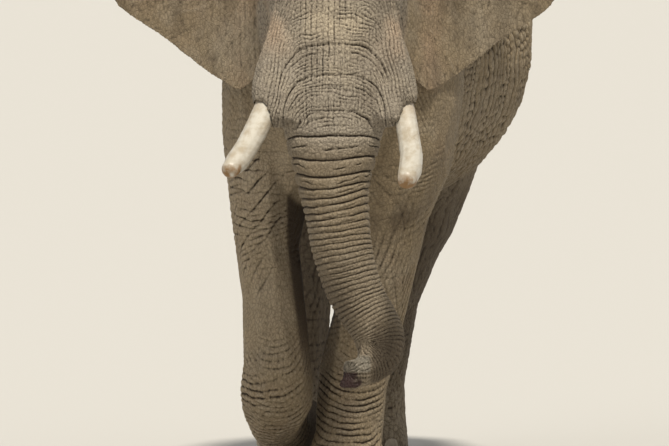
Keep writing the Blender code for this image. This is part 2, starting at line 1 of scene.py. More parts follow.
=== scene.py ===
"""The looks of the African elephant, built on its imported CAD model.

Metres, +Z up, the animal faces -Y and its left side is +X. One skin replaces all the solids of flesh: they
are fused, smoothed, divided more finely where the detail is, and then wrinkled by moving each point inwards
by a depth worked out from where it lies on its limb, its trunk or its face. Tusks and toenails are finer
copies of their solids, and eyeballs, lids, lashes and the tail's hairs are pieces of their own.
"""

import contextlib
import json
import math

import bmesh
import bpy
import numpy as np
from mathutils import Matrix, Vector
from mathutils.bvhtree import BVHTree


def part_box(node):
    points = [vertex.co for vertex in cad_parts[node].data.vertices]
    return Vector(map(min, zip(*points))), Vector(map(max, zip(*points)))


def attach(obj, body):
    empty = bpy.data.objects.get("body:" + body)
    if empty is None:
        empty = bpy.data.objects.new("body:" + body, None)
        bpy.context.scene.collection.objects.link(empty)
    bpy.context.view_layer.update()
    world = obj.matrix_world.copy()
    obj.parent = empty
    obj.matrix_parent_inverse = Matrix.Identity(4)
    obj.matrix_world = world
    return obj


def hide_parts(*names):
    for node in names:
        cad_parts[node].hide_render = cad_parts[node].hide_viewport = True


SKIN_VOXEL = 0.0095
TUSK_VOXEL = 0.006
NAIL_VOXEL = 0.004
SWELL = 0.0015  # closes the cuts between the solids before they are fused

# The head's own frame: x across the face, y back from it and z up. It is turned to the animal's left.
HEAD_TURN = math.radians(8.5)
HEAD_PLACE = (0.0322, -0.4270, 0.0)

# The camera faces the head from this far off. Its lens and sensor are in millimetres.
CAMERA_DISTANCE = 30.0
CAMERA_HEIGHT = 2.8
CAMERA_DIP = math.radians(2.93)
CAMERA_LENS = 347.1
SENSOR_WIDTH = 36.0
VIEW_END = 2000.0

FLOOR_HALF = 1500
FLOOR_COLOUR = (0.50, 0.485, 0.455, 1.0)
SKY_COLOUR = (0.93, 0.93, 0.92, 1.0)
SKY_STRENGTH = 0.50
# Each lamp's name, azimuth and elevation in degrees, strength, width in degrees and colour.
SUNS = (
    ("key", 22.0, 66.0, 3.9, 7.0, (1.0, 0.95, 0.85)),
    ("fill", -32.0, 26.0, 0.45, 40.0, (1.0, 0.98, 0.96)),
)


# ---- numbers that vary from place to place


def hashed(x, y, z, seed):
    """Numbers from 0 to 1 that look random, one for each whole-numbered cell."""
    h = x * np.uint32(0x8DA6B343) ^ y * np.uint32(0xD8163841) ^ z * np.uint32(0xCB1AB31F)
    h = h ^ np.uint32((seed * 0x9E3779B9) & 0xFFFFFFFF)
    h ^= h >> np.uint32(13)
    h *= np.uint32(0x5BD1E995)
    h ^= h >> np.uint32(15)
    h *= np.uint32(0x27D4EB2F)
    h ^= h >> np.uint32(13)
    return (h & np.uint32(0xFFFFFF)).astype(np.float32) / np.float32(0x1000000)


def cells_of(points):
    """Each point's cell, as unsigned whole numbers, and its place in the cell."""
    floor = np.floor(points)
    return floor.astype(np.int64).astype(np.uint32), (points - floor).astype(np.float32)


def noise(points, size, seed=0):
    """Smooth noise from -1 to 1, with lumps of this size. The size may differ along x, y and z."""
    cell, part = cells_of(points / np.array(size))
    ease = part * part * (3 - 2 * part)
    total = np.zeros(len(points), np.float32)
    for corner in range(8):
        step = [(corner >> k) & 1 for k in range(3)]
        share = np.ones(len(points), np.float32)
        for k in range(3):
            share *= ease[:, k] if step[k] else 1 - ease[:, k]
        x, y, z = (cell[:, k] + np.uint32(step[k]) for k in range(3))
        total += share * hashed(x, y, z, seed)
    return total * 2 - 1


def cloud(points, size, seed=0, octaves=3):
    """Noise with finer noise on it."""
    size = np.array(size, float)
    parts = [noise(points, size / 2**k, seed + k) / 2**k for k in range(octaves)]
    return sum(parts) / sum(1 / 2**k for k in range(octaves))


def edge_gap(points, size, seed=0):
    """Each point's distance from the edge of its cell in a net of such cells, as a share of their size."""
    cell, part = cells_of(points / np.array(size))
    nearest = np.full(len(points), 9.0, np.float32)
    second = nearest.copy()
    for step in np.ndindex(3, 3, 3):
        x, y, z = (cell[:, k] + np.uint32((step[k] - 1) & 0xFFFFFFFF) for k in range(3))
        distance = np.zeros(len(points), np.float32)
        for k in range(3):
            jitter = hashed(x, y, z, seed * 3 + k)
            distance += (jitter + (step[k] - 1) - part[:, k]) ** 2
        second = np.minimum(second, np.maximum(nearest, distance))
        nearest = np.minimum(nearest, distance)
    return np.sqrt(second) - np.sqrt(nearest)


def cracks(points, size, seed=0, soft=0.0, width=0.15):
    """1 on the edges of a net of cells and 0 inside them; some softness makes the cells rounded."""
    gap = edge_gap(points, size, seed)
    return (1 - soft) * crease(gap, width) + soft * crease(gap, 0.42)


def patches(points, size, seed, base, swing=1.0, least=0.0):
    """Numbers up to 1 that make a wrinkle come and go: a base with noise of this size and swing on it."""
    return np.clip(base + swing * noise(points, size, seed), least, 1)


def off_whole(phase):
    """How far each number is from the nearest whole one."""
    return np.abs(phase - np.round(phase))


def crease(away, width=0.0042):
    """1 in the middle of a crease and 0 away from it."""
    return np.exp(-((away / width) ** 2))


def groove(phase, width=0.2):
    """A row of grooves, one at each whole number of the phase: 1 in its middle, 0 between."""
    return crease(off_whole(phase), width)


def fold(phase, spacing, width, rounded, power):
    """A row of folds this far apart, with a crease this wide at each whole number and round rolls between."""
    away = off_whole(phase)
    return rounded * (1 - 2 * away) ** power + (1 - rounded) * crease(away * spacing, width)


def ramp(value, start, end):
    """Smoothly from 0 at start to 1 at end."""
    t = np.clip((value - start) / (end - start), 0, 1)
    return t * t * (3 - 2 * t)


def bump_at(value, middle, width):
    return crease(value - middle, width)


# ---- meshes as arrays


def read(items, name, kind, width=1):
    """One number, or a row of this many, for each of a mesh's items."""
    values = np.empty(len(items) * width, kind)
    items.foreach_get(name, values)
    return values.reshape(-1, width) if width > 1 else values


def points_of(mesh):
    return read(mesh.vertices, "co", np.float32, 3).astype(np.float64)


def set_points(mesh, points):
    mesh.vertices.foreach_set("co", points.astype(np.float32).ravel())
    mesh.update()


def normals_of(mesh):
    return read(mesh.vertex_normals, "vector", np.float32, 3).astype(np.float64)


def edges_of(mesh):
    return read(mesh.edges, "vertices", np.int32, 2)


class Neighbours:
    """Averages values over each point's neighbours."""

    def __init__(self, mesh):
        self.edges = edges_of(mesh)
        self.size = len(mesh.vertices)
        self.count = np.bincount(self.edges.ravel(), minlength=self.size)

    def mean(self, values):
        a, b = self.edges.T
        columns = values.reshape(self.size, -1).T
        sums = [
            np.bincount(a, weights=column[b], minlength=self.size)
            + np.bincount(b, weights=column[a], minlength=self.size)
            for column in columns
        ]
        return (np.array(sums).T / np.maximum(self.count, 1)[:, None]).reshape(values.shape)

    def spread(self, values, rounds):
        for _ in range(rounds):
            values = 0.4 * values + 0.6 * self.mean(values)
        return values


def attribute(mesh, name, values=None):
    """Writes a number for each point to the mesh, or reads it."""
    if values is None:
        return read(mesh.attributes[name].data, "value", np.float32).astype(np.float64)
    made = mesh.attributes.get(name) or mesh.attributes.new(name, "FLOAT", "POINT")
    made.data.foreach_set("value", values.astype(np.float32))
    return None


@contextlib.contextmanager
def editing(mesh):
    """The mesh's shape, written back when the changes to it are made."""
    shape = bmesh.new()
    shape.from_mesh(mesh)
    yield shape
    shape.to_mesh(mesh)
    shape.free()


def object_from(name, data):
    made = bpy.data.objects.new(name, data)
    bpy.context.collection.objects.link(made)
    return made


def mesh_from(name, points, faces):
    mesh = bpy.data.meshes.new(name)
    mesh.from_pydata([tuple(p) for p in points], [], faces)
    mesh.validate()
    return mesh


def copy_of_nodes(name, nodes, merge=1e-5):
    """One mesh of the shapes of some CAD nodes, with the points that the file splits joined again."""
    mesh = bpy.data.meshes.new(name)
    with editing(mesh) as shape:
        for node in nodes:
            shape.from_mesh(frame["nodes"][node].data)
        bmesh.ops.remove_doubles(shape, verts=shape.verts, dist=merge)
    return object_from(name, mesh)


def dressed(made, material):
    """Gives a finished piece its one material."""
    made.data.shade_smooth()
    made.data.materials.clear()
    made.data.materials.append(material)


def with_modifiers(made):
    """The object with its modifiers made part of its mesh."""
    bpy.context.view_layer.update()
    seen = made.evaluated_get(bpy.context.evaluated_depsgraph_get())
    mesh = bpy.data.meshes.new_from_object(seen)
    made.modifiers.clear()
    made.data = mesh
    return made


def fused(made, voxel, swell=0.0):
    if swell:
        displace = made.modifiers.new("swell", "DISPLACE")
        displace.strength = swell
        displace.mid_level = 0.0
    remesh = made.modifiers.new("fuse", "REMESH")
    remesh.mode = "VOXEL"
    remesh.voxel_size = voxel
    return with_modifiers(made)


def evened(points, near, weight, rounds, shrink=0.5, swell=-0.515):
    """Points with lumps taken out of them and, because each round swells back, little volume lost."""
    for _ in range(rounds):
        for step in (shrink, swell):
            points = points + (near.mean(points) - points) * (weight * step)[:, None]
    return points


# ---- where a point lies on the animal


def from_head(rows):
    """Places in the head's frame, in the model's."""
    rows = np.atleast_2d(rows).astype(float)
    cos, sin = math.cos(HEAD_TURN), math.sin(HEAD_TURN)
    x = rows[:, 0] * cos - rows[:, 1] * sin
    y = rows[:, 0] * sin + rows[:, 1] * cos
    return np.stack([x, y, rows[:, 2]], 1) + np.array(HEAD_PLACE)


def in_head(points):
    """How far across the face, back and up each point is."""
    off = points - np.array(HEAD_PLACE)
    cos, sin = math.cos(HEAD_TURN), math.sin(HEAD_TURN)
    return off[:, 0] * cos + off[:, 1] * sin, off[:, 1] * cos - off[:, 0] * sin, off[:, 2]


def curve_through(rows, step=0.03):
    """A smooth line through some places, divided into even short steps."""
    rows = np.array(rows, float)
    knots = np.concatenate([[0], np.cumsum(np.linalg.norm(np.diff(rows, axis=0), axis=1))])
    ends = np.vstack([2 * rows[0] - rows[1], rows, 2 * rows[-1] - rows[-2]])
    places = np.linspace(0, knots[-1], max(2, round(knots[-1] / step)))
    found = []
    for place in places:
        i = min(max(np.searchsorted(knots, place, side="right") - 1, 0), len(rows) - 2)
        t = (place - knots[i]) / (knots[i + 1] - knots[i])
        a, b, c, d = ends[i : i + 4]
        bend = (2 * a - 5 * b + 4 * c - d) * t**2
        twist = (3 * (b - c) + d - a) * t**3
        found.append(0.5 * (2 * b + (c - a) * t + bend + twist))
    return np.array(found)


def along(points, line):
    """Each point's distance along a line, its angle round it and its distance from it.

    The angle is 0 in front of the line and positive to the animal's left.
    """
    ways = np.gradient(line, axis=0)
    ways /= np.linalg.norm(ways, axis=1)[:, None]
    side = np.array([1.0, 0.0, 0.0])
    best = np.full(len(points), 1e9)
    run, turn = np.zeros(len(points)), np.zeros(len(points))
    travelled = 0.0
    after = (points - line[0]) @ ways[0]
    for i in range(len(line) - 1):
        before, after = after, (points - line[i + 1]) @ ways[i + 1]
        length = np.linalg.norm(line[i + 1] - line[i])
        side = side - ways[i] * (side @ ways[i])
        side /= np.linalg.norm(side)
        front = np.cross(ways[i], side)
        here = after < 0 if i < len(line) - 2 else np.ones(len(points), bool)
        if i:
            here &= before >= 0
        t = before / np.maximum(before - after, 1e-9)
        t = np.where(before < 0, before / length, np.where(after >= 0, 1 + after / length, t))
        radial = points - line[i] - t[:, None] * (line[i + 1] - line[i])
        distance = np.linalg.norm(radial, axis=1)
        closer = here & (distance < best)
        best[closer] = distance[closer]
        run[closer] = travelled + t[closer] * length
        turn[closer] = np.arctan2(radial[closer] @ side, radial[closer] @ front)
        travelled += length
    return run, turn, best


# ---- the frame

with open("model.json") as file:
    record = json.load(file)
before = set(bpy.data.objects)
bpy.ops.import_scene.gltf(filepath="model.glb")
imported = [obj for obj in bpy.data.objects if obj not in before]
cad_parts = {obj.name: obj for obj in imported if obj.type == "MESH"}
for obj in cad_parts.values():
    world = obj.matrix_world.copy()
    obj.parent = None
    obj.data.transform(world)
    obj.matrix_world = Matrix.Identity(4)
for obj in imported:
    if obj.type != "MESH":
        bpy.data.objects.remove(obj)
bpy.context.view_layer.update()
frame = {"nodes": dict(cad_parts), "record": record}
SLOT_OF = {entry["node"]: entry["material_slot"] for entry in frame["record"]["subparts"]}


def nodes_with(slot):
    return sorted(node for node, its in SLOT_OF.items() if its == slot)


def middle(node):
    low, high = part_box(node)
    return (low + high) / 2


def corners_of(node):
    return points_of(frame["nodes"][node].data)


CUT_GAP = 0.004  # a point this near to the next solid lies on the cut between them


def seam(upper, lower):
    """The middle of the cut between two solids."""
    ours, theirs = corners_of(upper), corners_of(lower)
    gaps = np.linalg.norm(ours[:, None] - theirs[None], axis=2).min(1)
    return ours[gaps < CUT_GAP].mean(0)


def leg_line(end, side):
    """The middle of a leg, from inside the body down to its sole."""
    upper, lower, foot = f"leg_{end}_{side}_upper", f"leg_{end}_{side}_lower", f"foot_{end}_{side}"
    body = "forequarters" if end == "front" else "rump"
    top = seam(body, upper)
    ankle = seam(lower, foot)
    toes = corners_of(foot)
    far = np.linalg.norm(toes - ankle, axis=1)
    sole = toes[far > far.max() * 0.75].mean(0)
    return curve_through([top + (0, 0, 0.75), top + (0, 0, 0.35), top, seam(upper, lower), ankle, sole])


TRUNK_LINE = curve_through(from_head([
    (-0.004, -0.99, 1.86), (-0.004, -1.025, 1.76), (-0.006, -1.075, 1.60), (-0.003, -1.095, 1.48),
    (0.0135, -1.105, 1.357), (0.034, -1.105, 1.204), (0.077, -1.100, 1.050), (0.116, -1.095, 0.965),
    (0.163, -1.095, 0.890), (0.199, -1.100, 0.825), (0.213, -1.110, 0.768), (0.200, -1.128, 0.722),
    (0.165, -1.155, 0.690), (0.120, -1.190, 0.673), (0.080, -1.220, 0.664),
]), 0.02)
LOWER_FINGER = from_head([(0.130, -1.185, 0.648), (0.075, -1.230, 0.614), (0.034, -1.262, 0.598)])
LEGS = [(end, side) for end in ("front", "hind") for side in ("left", "right")]
LEG_LINES = {f"{end}_{side}": leg_line(end, side) for end, side in LEGS}
SIDES = {1: "left", -1: "right"}
EYES = {side: middle(f"eye_{name}") for side, name in SIDES.items()}
EYE_RADIUS = (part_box("eye_left")[1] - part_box("eye_left")[0]).z / 2


# ---- the skin

FINE_NODES = ("head", "jaw", "trunk", "leg_front", "foot_front")
BROAD_NODES = ("forequarters", "leg_hind")  # fine only on their foremost part
FORWARD = 0.15  # a point faces forward where its normal's Y is less than this
# Where each leg's wrinkles give way to the body's: the height where half of each is left, and over how much.
LEG_TOP = {"front": (1.72, 0.22), "hind": (1.30, 0.20)}
# How strongly each region's lumps are taken out, and how many times.
EVENING = {"head": 0.5, "trunk": 0.45, "ear": 0.35, "body": 1.0}
LEG_EVENING = 0.6
EVENING_ROUNDS = 40
BLENDING = {"trunk": 6, "head": 10, "ear": 12}  # how many times the edge between two regions is softened
OTHER_BLENDING = 30
REGIONS = ("head", "trunk", "ear", "body", *LEG_LINES)


def node_of_each(points, nodes):
    """The index of the CAD node nearest to each point."""
    corners, faces, owner = [], [], []
    for index, node in enumerate(nodes):
        mesh = frame["nodes"][node].data
        first = len(corners)
        corners.extend(v.co[:] for v in mesh.vertices)
        faces.extend(tuple(first + v for v in face.vertices) for face in mesh.polygons)
        owner.extend([index] * len(mesh.polygons))
    tree = BVHTree.FromPolygons(corners, faces)
    return np.array([owner[tree.find_nearest(p)[2]] for p in points.tolist()])


def between_legs(end):
    """How far across the model the middle between its front or its hind legs is."""
    return sum(LEG_LINES[f"{end}_{side}"][:, 0].mean() for side in ("left", "right")) / 2


def region_shares(points, near, on):
    """How much of each region's wrinkles each point gets: all of one, or some of two where they meet.

    on(*starts) tells which points lie on a node whose name starts in one of these ways.
    """
    z = points[:, 2]
    trunk = ramp(z, 1.780, 1.725) * on("head", "trunk")
    shares = {"trunk": trunk, "head": on("head", "jaw", "trunk") * (1 - trunk), "ear": on("ear")}
    for end, body in (("front", "forequarters"), ("hind", "rump")):
        centre = between_legs(end)
        height, width = LEG_TOP[end]
        upper = on(body) * ramp(z, height + width, height - width)
        for side in ("left", "right"):
            its = points[:, 0] > centre if side == "left" else points[:, 0] <= centre
            shares[f"{end}_{side}"] = on(f"leg_{end}_{side}", f"foot_{end}_{side}") + upper * its
    shares["body"] = np.clip(1 - sum(shares.values()), 0, 1)
    for region, share in shares.items():
        shares[region] = near.spread(share.astype(float), BLENDING.get(region, OTHER_BLENDING))
    total = np.maximum(sum(shares.values()), 1e-6)
    return {region: share / total for region, share in shares.items()}


def base_skin():
    """The solids of flesh fused into one even surface, with each region's share at each point."""
    nodes = nodes_with("skin")
    made = fused(copy_of_nodes("skin", nodes), SKIN_VOXEL, SWELL)
    mesh = made.data
    points = points_of(mesh)
    near = Neighbours(mesh)
    owner = node_of_each(points, nodes)

    def on(*starts):
        return np.isin(owner, [i for i, node in enumerate(nodes) if node.startswith(starts)])

    shares = region_shares(points, near, on)
    for region, share in shares.items():
        attribute(mesh, region, share)
    weight = sum(share * EVENING.get(region, LEG_EVENING) for region, share in shares.items())

    # What faces forward is divided more finely, and most of all the face and the trunk.
    _, y, z = in_head(points)
    ahead = near.spread(normals_of(mesh), 6)[:, 1] < FORWARD
    fine = on(*FINE_NODES) | (on(*BROAD_NODES) & (points[:, 1] < -0.12) & (z < 2.1))
    fine = fine & (ahead | on("trunk"))
    trunk = on("trunk") & ((points[:, 1] < -1.40) | (z < 1.2))
    face = on("head") & (y < -0.68) & (z < 2.60)
    attribute(mesh, "fine", fine + 1.0 * (trunk | face))

    points = evened(points, near, weight, EVENING_ROUNDS)
    x, y, z = in_head(points)
    notch = shares["trunk"] * bump_at(z, 0.750, 0.028) * ramp(x, 0.165, 0.130) * ramp(y, -1.08, -1.12)
    points[:, 2] -= 0.030 * notch  # over the upper finger of the trunk
    set_points(mesh, points)
    return made


def divided(made, wanted, cuts):
    """Cuts the edges between points that are both wanted this many times."""
    with editing(made.data) as shape:
        shape.verts.ensure_lookup_table()
        chosen = [e for e in shape.edges if wanted[e.verts[0].index] and wanted[e.verts[1].index]]
        bmesh.ops.subdivide_edges(shape, edges=chosen, cuts=cuts, use_grid_fill=True)


# ---- its wrinkles: how deep each point lies

# The arched folds of the face: the height where each crosses the middle of the face, and its depth.
FACE_FOLDS = (
    (2.83, 0.0040), (2.71, 0.0040), (2.62, 0.0045), (2.54, 0.004), (2.455, 0.005), (2.36, 0.005),
    (2.267, 0.006), (2.128, 0.012), (2.092, 0.0075), (1.990, 0.013), (1.938, 0.0075), (1.832, 0.014),
    (1.803, 0.0085), (1.760, 0.007),
)
LADDER = 0.027  # between the upright lines of the face
# The trunk's rings, by distances down its line from the face's last fold, which lies at TRUNK_TOP: where the
# first are, how far apart the rest are, how deep they are, and how much higher at the sides than in front.
TRUNK_TOP = 0.120
FIRST_RINGS = (-0.10, 0.0, 0.089, 0.178, 0.238, 0.282, 0.318)
RING_SPACING = ((0.30, 0.0290), (0.60, 0.0255), (0.80, 0.021), (1.00, 0.016), (1.20, 0.013), (1.50, 0.011))
RING_DEPTH = (
    (0.13, 0.018), (0.22, 0.0165), (0.32, 0.0115), (0.42, 0.0085), (0.75, 0.0066), (1.0, 0.0056),
    (1.2, 0.0044),
)
RING_SAG = (
    (0.0, 0.012), (0.09, 0.034), (0.20, 0.022), (0.35, 0.004), (0.50, -0.020), (0.95, -0.020), (1.1, 0.0),
)


def folds_across(place, rows, points, seed):
    """Folds that each overhang the skin below them. Rows: the place of each and its depth."""
    depth = np.zeros(len(points))
    for number, (at, deep) in enumerate(rows):
        fade = 0.72 + 0.38 * noise(points, (0.11, 0.11, 0.30), seed + number)
        under = np.clip(at - place, 0, None)
        tucked = np.where(place < at, crease(under, 0.030), 0) * ramp(at - place, 0.0, 0.004)
        shape = 0.56 * crease(place - at, 0.0038 + deep * 0.22) + 0.44 * tucked
        depth = np.maximum(depth, deep * fade * shape)
    return depth


def face_arch(x, z):
    """The height where the arch through a point crosses the middle of the face."""
    width = np.interp(z, (1.70, 1.83, 1.95, 2.13, 2.5), (0.68, 0.80, 0.90, 1.0, 1.25))
    across = np.abs(x) / width
    return z + (28 * across**4 + 0.4 * across**2) * width


def eye_depth(points):
    """Creases that ring each eye, closer together near it."""
    depth = np.zeros(len(points))
    for side, centre in EYES.items():
        off = points - np.array(centre)
        away = np.sqrt(off[:, 0] ** 2 * 0.5 + off[:, 1] ** 2 * 0.75 + (off[:, 2] * 1.25) ** 2)
        away += 0.006 * noise(points, 0.05, 23 + side)
        rows = groove(np.sqrt(np.maximum(away - 0.018, 0)) * 26, 0.17)
        depth = np.maximum(depth, 0.0045 * rows * ramp(away, 0.15, 0.05) * ramp(away, 0.02, 0.03))
    return depth


def head_depth(points):
    x, y, z = in_head(points)
    wide = np.abs(x)
    waver = 0.009 * cloud(points, (0.10, 0.10, 0.14), 11) + 0.0050 * noise(points, 0.034, 12)
    arch = face_arch(x, z) + waver
    depth = folds_across(arch, FACE_FOLDS, points, 100) * ramp(y, -0.55, -0.75) * ramp(wide, 0.30, 0.20)

    # The middle of the face has a ladder of upright lines and rungs, and its sides have slanting lines.
    sway = cloud(points, (0.09, 0.09, 0.10), 17)
    upright = crease(off_whole(x / LADDER + 0.42 * sway) * LADDER, 0.0040)
    upright = upright * patches(points, (0.05, 0.05, 0.12), 18, 0.45, 0.95, 0.05)
    finer = groove(x / 0.0140 + 0.9 * cloud(points, (0.07, 0.07, 0.10), 25), 0.22)
    finer *= patches(points, (0.04, 0.04, 0.07), 26, 0.45)
    rungs = groove(arch / 0.0185 + noise(points, (0.09, 0.09, 0.05), 15), 0.17)
    rungs *= patches(points, (0.06, 0.06, 0.03), 16, 0.30 + 0.6 * bump_at(wide, 0.17, 0.07))
    net = cracks(points + waver[:, None], (0.022, 0.040, 0.021), 24, 0.35)
    slants = 0
    for way in (1, -1):
        slants = slants + groove((x * way + z * 0.7) / 0.021 + 0.8 * noise(points, 0.06, 40 + way), 0.17)
    slants *= patches(points, 0.07, 43, 0.3)
    ladder = 0.0040 * upright + 0.0025 * finer + 0.0040 * rungs + 0.0028 * net + 0.0013 * slants
    slant = wide + 0.20 * (z - 1.9) + 0.014 * cloud(points, 0.14, 27)
    cheeks = groove(slant / 0.0165 + 0.35 * noise(points, (0.05, 0.05, 0.14), 20), 0.19)
    cheeks *= 0.55 + 0.5 * noise(points, (0.04, 0.04, 0.10), 28)
    crossing = groove((arch + 0.3 * wide) / 0.018 + 0.5 * noise(points, 0.05, 29), 0.17)
    crossing *= patches(points, 0.05, 30, 0.35, 0.9)
    cheeks = 0.0052 * cheeks + 0.0040 * crossing + 0.0026 * net

    # The crown and the back of the head have a wider net and longer folds.
    back_net = cracks(points + waver[:, None], (0.036, 0.036, 0.027), 21, 0.4)
    upper_folds = groove(arch / 0.036 + 0.9 * cloud(points, (0.12, 0.12, 0.06), 44), 0.14)
    upper_folds *= patches(points, (0.10, 0.10, 0.05), 45, 0.45, 0.9)

    front = ramp(y, -0.62, -0.80) * ramp(z, 1.60, 1.66) * ramp(z, 2.75, 2.35)
    across = ramp(wide, 0.235, 0.13)
    depth += front * (across * ladder + (1 - across) * cheeks)
    depth += (1 - front) * (0.0048 * back_net + 0.0046 * upper_folds)
    depth = np.maximum(depth, eye_depth(points))
    temple = bump_at(z, 2.56, 0.11) * bump_at(y, -0.60, 0.11) * ramp(wide, 0.15, 0.26)
    return depth + 0.020 * temple


def ring_phase(run):
    """A number that is whole at each ring of the trunk, and the distance between the rings there."""
    places = list(FIRST_RINGS)
    while places[-1] < 1.6:
        places.append(places[-1] + np.interp(places[-1], *zip(*RING_SPACING)))
    phase = np.interp(run, places, np.arange(len(places), dtype=float))
    return phase, np.interp(run, places[1:], np.diff(places))


def trunk_depth(points):
    run, turn, out = along(points, TRUNK_LINE)
    run = run - TRUNK_TOP
    sag = np.interp(run, *zip(*RING_SAG)) * (1 - np.cos(turn))
    slant = 0.010 * noise(np.stack([turn, run * 5, run * 0], 1), (1.3, 1.0, 1), 31)
    slant += 0.0035 * noise(points, (0.05, 0.05, 0.04), 32)
    phase, spacing = ring_phase(run + sag + slant)
    deep = np.interp(run, *zip(*RING_DEPTH))
    strength = deep * patches(points, (0.08, 0.08, 0.03), 33, 0.86, 0.34)
    depth = strength * fold(phase, spacing, 0.0036 + deep * 0.12, 0.42, 2.6)

    # Broken creases lie halfway between the rings.
    half = 2 * ring_phase(run + sag + slant * 1.8 + 0.004 * noise(points, 0.03, 34))[0]
    away = np.where(np.round(half) % 2 == 1, off_whole(half) / 2, 0.5)
    strength = 0.50 * deep * patches(points, (0.05, 0.05, 0.03), 35, 0.35, 1.1)
    depth += strength * crease(away * spacing, 0.0036)

    inner = ramp(np.cos(turn + 1.9), 0.35, 0.95) * ramp(run, 0.45, 0.65)
    scallops = cracks(np.stack([turn * 0.12, out, run], 1), (0.024, 0.5, 0.017), 36)
    crumpled = cracks(points + slant[:, None], (0.030, 0.040, 0.016), 38, 0.3) * ramp(run, 0.24, 0.04)
    depth += 0.0050 * inner * scallops + 0.0016 * scallops + 0.0042 * crumpled
    tip = ramp(run, 1.02, 1.12)
    lengthwise = groove(turn * 3.2 + 0.5 * noise(points, 0.025, 37), 0.2)
    finger = ramp(run, 1.17, 1.22)
    return depth * (1 - 0.5 * finger) + 0.0036 * finger * lengthwise + 0.0012 * tip * scallops


LEG_RADIUS = 0.17
LEG_SEEDS = {leg: 200 + 40 * number for number, leg in enumerate(LEG_LINES)}
# Rows of folds across a leg: where they start and end along its line, their spacing, how much they sag, their
# depth, and the angle of the side that they are deepest on.
LEG_FOLDS = {
    "front_left": (
        (1.36, 1.90, 0.0340, 0.085, 0.0110, -0.15),
        (0.95, 1.36, 0.043, 0.12, 0.0030, 0.1),
        (0.30, 0.95, 0.050, 0.02, 0.0016, 0.0),
    ),
    "front_right": (
        (0.10, 0.75, 0.046, -0.04, 0.0058, -0.9),
        (0.45, 0.95, 0.037, -0.05, 0.0030, 0.2),
        (1.16, 1.62, 0.0200, 0.15, 0.0042, 0.1),
        (1.28, 1.95, 0.0260, 0.04, 0.0120, -1.4),
        (1.55, 1.95, 0.030, 0.03, 0.0060, 0.6),
    ),
    "hind": ((1.10, 1.70, 0.036, 0.05, 0.0050, 0.0),),
}
# Long wrinkles that slant across a leg: where they start and end, how steep they are, spacing and depth.
LEG_SLANTS = {
    "front_left": (
        (0.0, 1.20, 0.50, 0.026, 0.0034), (0.20, 1.50, 3.6, 0.026, 0.0040), (0.0, 1.4, -2.4, 0.040, 0.0030),
    ),
    "front_right": (
        (0.1, 1.00, 1.3, 0.064, 0.0070), (0.0, 0.85, 0.35, 0.030, 0.0040), (0.5, 1.5, 1.6, 0.034, 0.0014),
    ),
    "hind": ((0.1, 1.6, 4.5, 0.030, 0.0050),),
}


def within(run, start, end, edge=0.06):
    return ramp(run, start - edge, start + edge) * ramp(run, end + edge, end - edge)


def leg_depth(points, leg):
    seed = LEG_SEEDS[leg]
    run, turn, _ = along(points, LEG_LINES[leg])
    flat = np.stack([turn * LEG_RADIUS, np.zeros(len(run)), run], 1)
    bent = flat + (0.010 * cloud(points, 0.10, seed))[:, None]
    hind = leg.startswith("hind")
    rows = "hind" if hind else leg
    net = cracks(bent, (0.026, 1.0, 0.060) if hind else (0.022, 1.0, 0.018), seed + 1, 0.3)
    low = ramp(run, 1.0, 1.4)
    depth = net * (0.0040 if hind else 0.0012 + 0.0014 * low)
    grain = cracks(bent, (0.020, 1.0, 0.090), seed + 2, 0.5)
    depth += 0.0026 * grain * (1 - 0.8 * low) * patches(points, 0.15, seed + 20, 0.5, 0.8)
    for number, (start, end, spacing, sag, deep, toward) in enumerate(LEG_FOLDS[rows]):
        place = run + sag * (1 - np.cos(turn - toward))
        place = place + 0.55 * spacing * cloud(points, 0.11, seed + 3 + number)
        strength = within(run, start, end) * np.clip(0.35 + 0.65 * np.cos(turn - toward), 0, 1)
        strength *= patches(points, (0.10, 0.10, 0.04), seed + 6 + number, 0.62, 0.7)
        depth += deep * strength * fold(place / spacing, spacing, 0.0036 + deep * 0.18, 0.40, 2.4)
    for number, (start, end, steep, spacing, deep) in enumerate(LEG_SLANTS[rows]):
        place = (turn * LEG_RADIUS * abs(steep) + run * np.sign(steep)) / math.hypot(steep, 1)
        place = place + 0.022 * cloud(points, (0.16, 0.16, 0.22), seed + 10 + number)
        strength = patches(points, (0.10, 0.10, 0.16), seed + 14 + number, 0.25, 1.1)
        strength = strength * within(run, start, end)
        depth += deep * strength * crease(off_whole(place / spacing) * spacing, 0.0060)
    return depth


# The flank's upright folds: some distances back along it, the number of folds up to each, and how far apart
# they are there. Other folds cross them.
COLUMN_PLACES = (-2.0, 1.25, 1.80, 4.0)
COLUMN_NUMBERS = (0.0, 54.2, 64.6, 112.4)
COLUMN_SPACING = (0.060, 0.060, 0.046, 0.046)
CROSSING_SPACING = 0.046
FLANK_CREASE = 0.0078


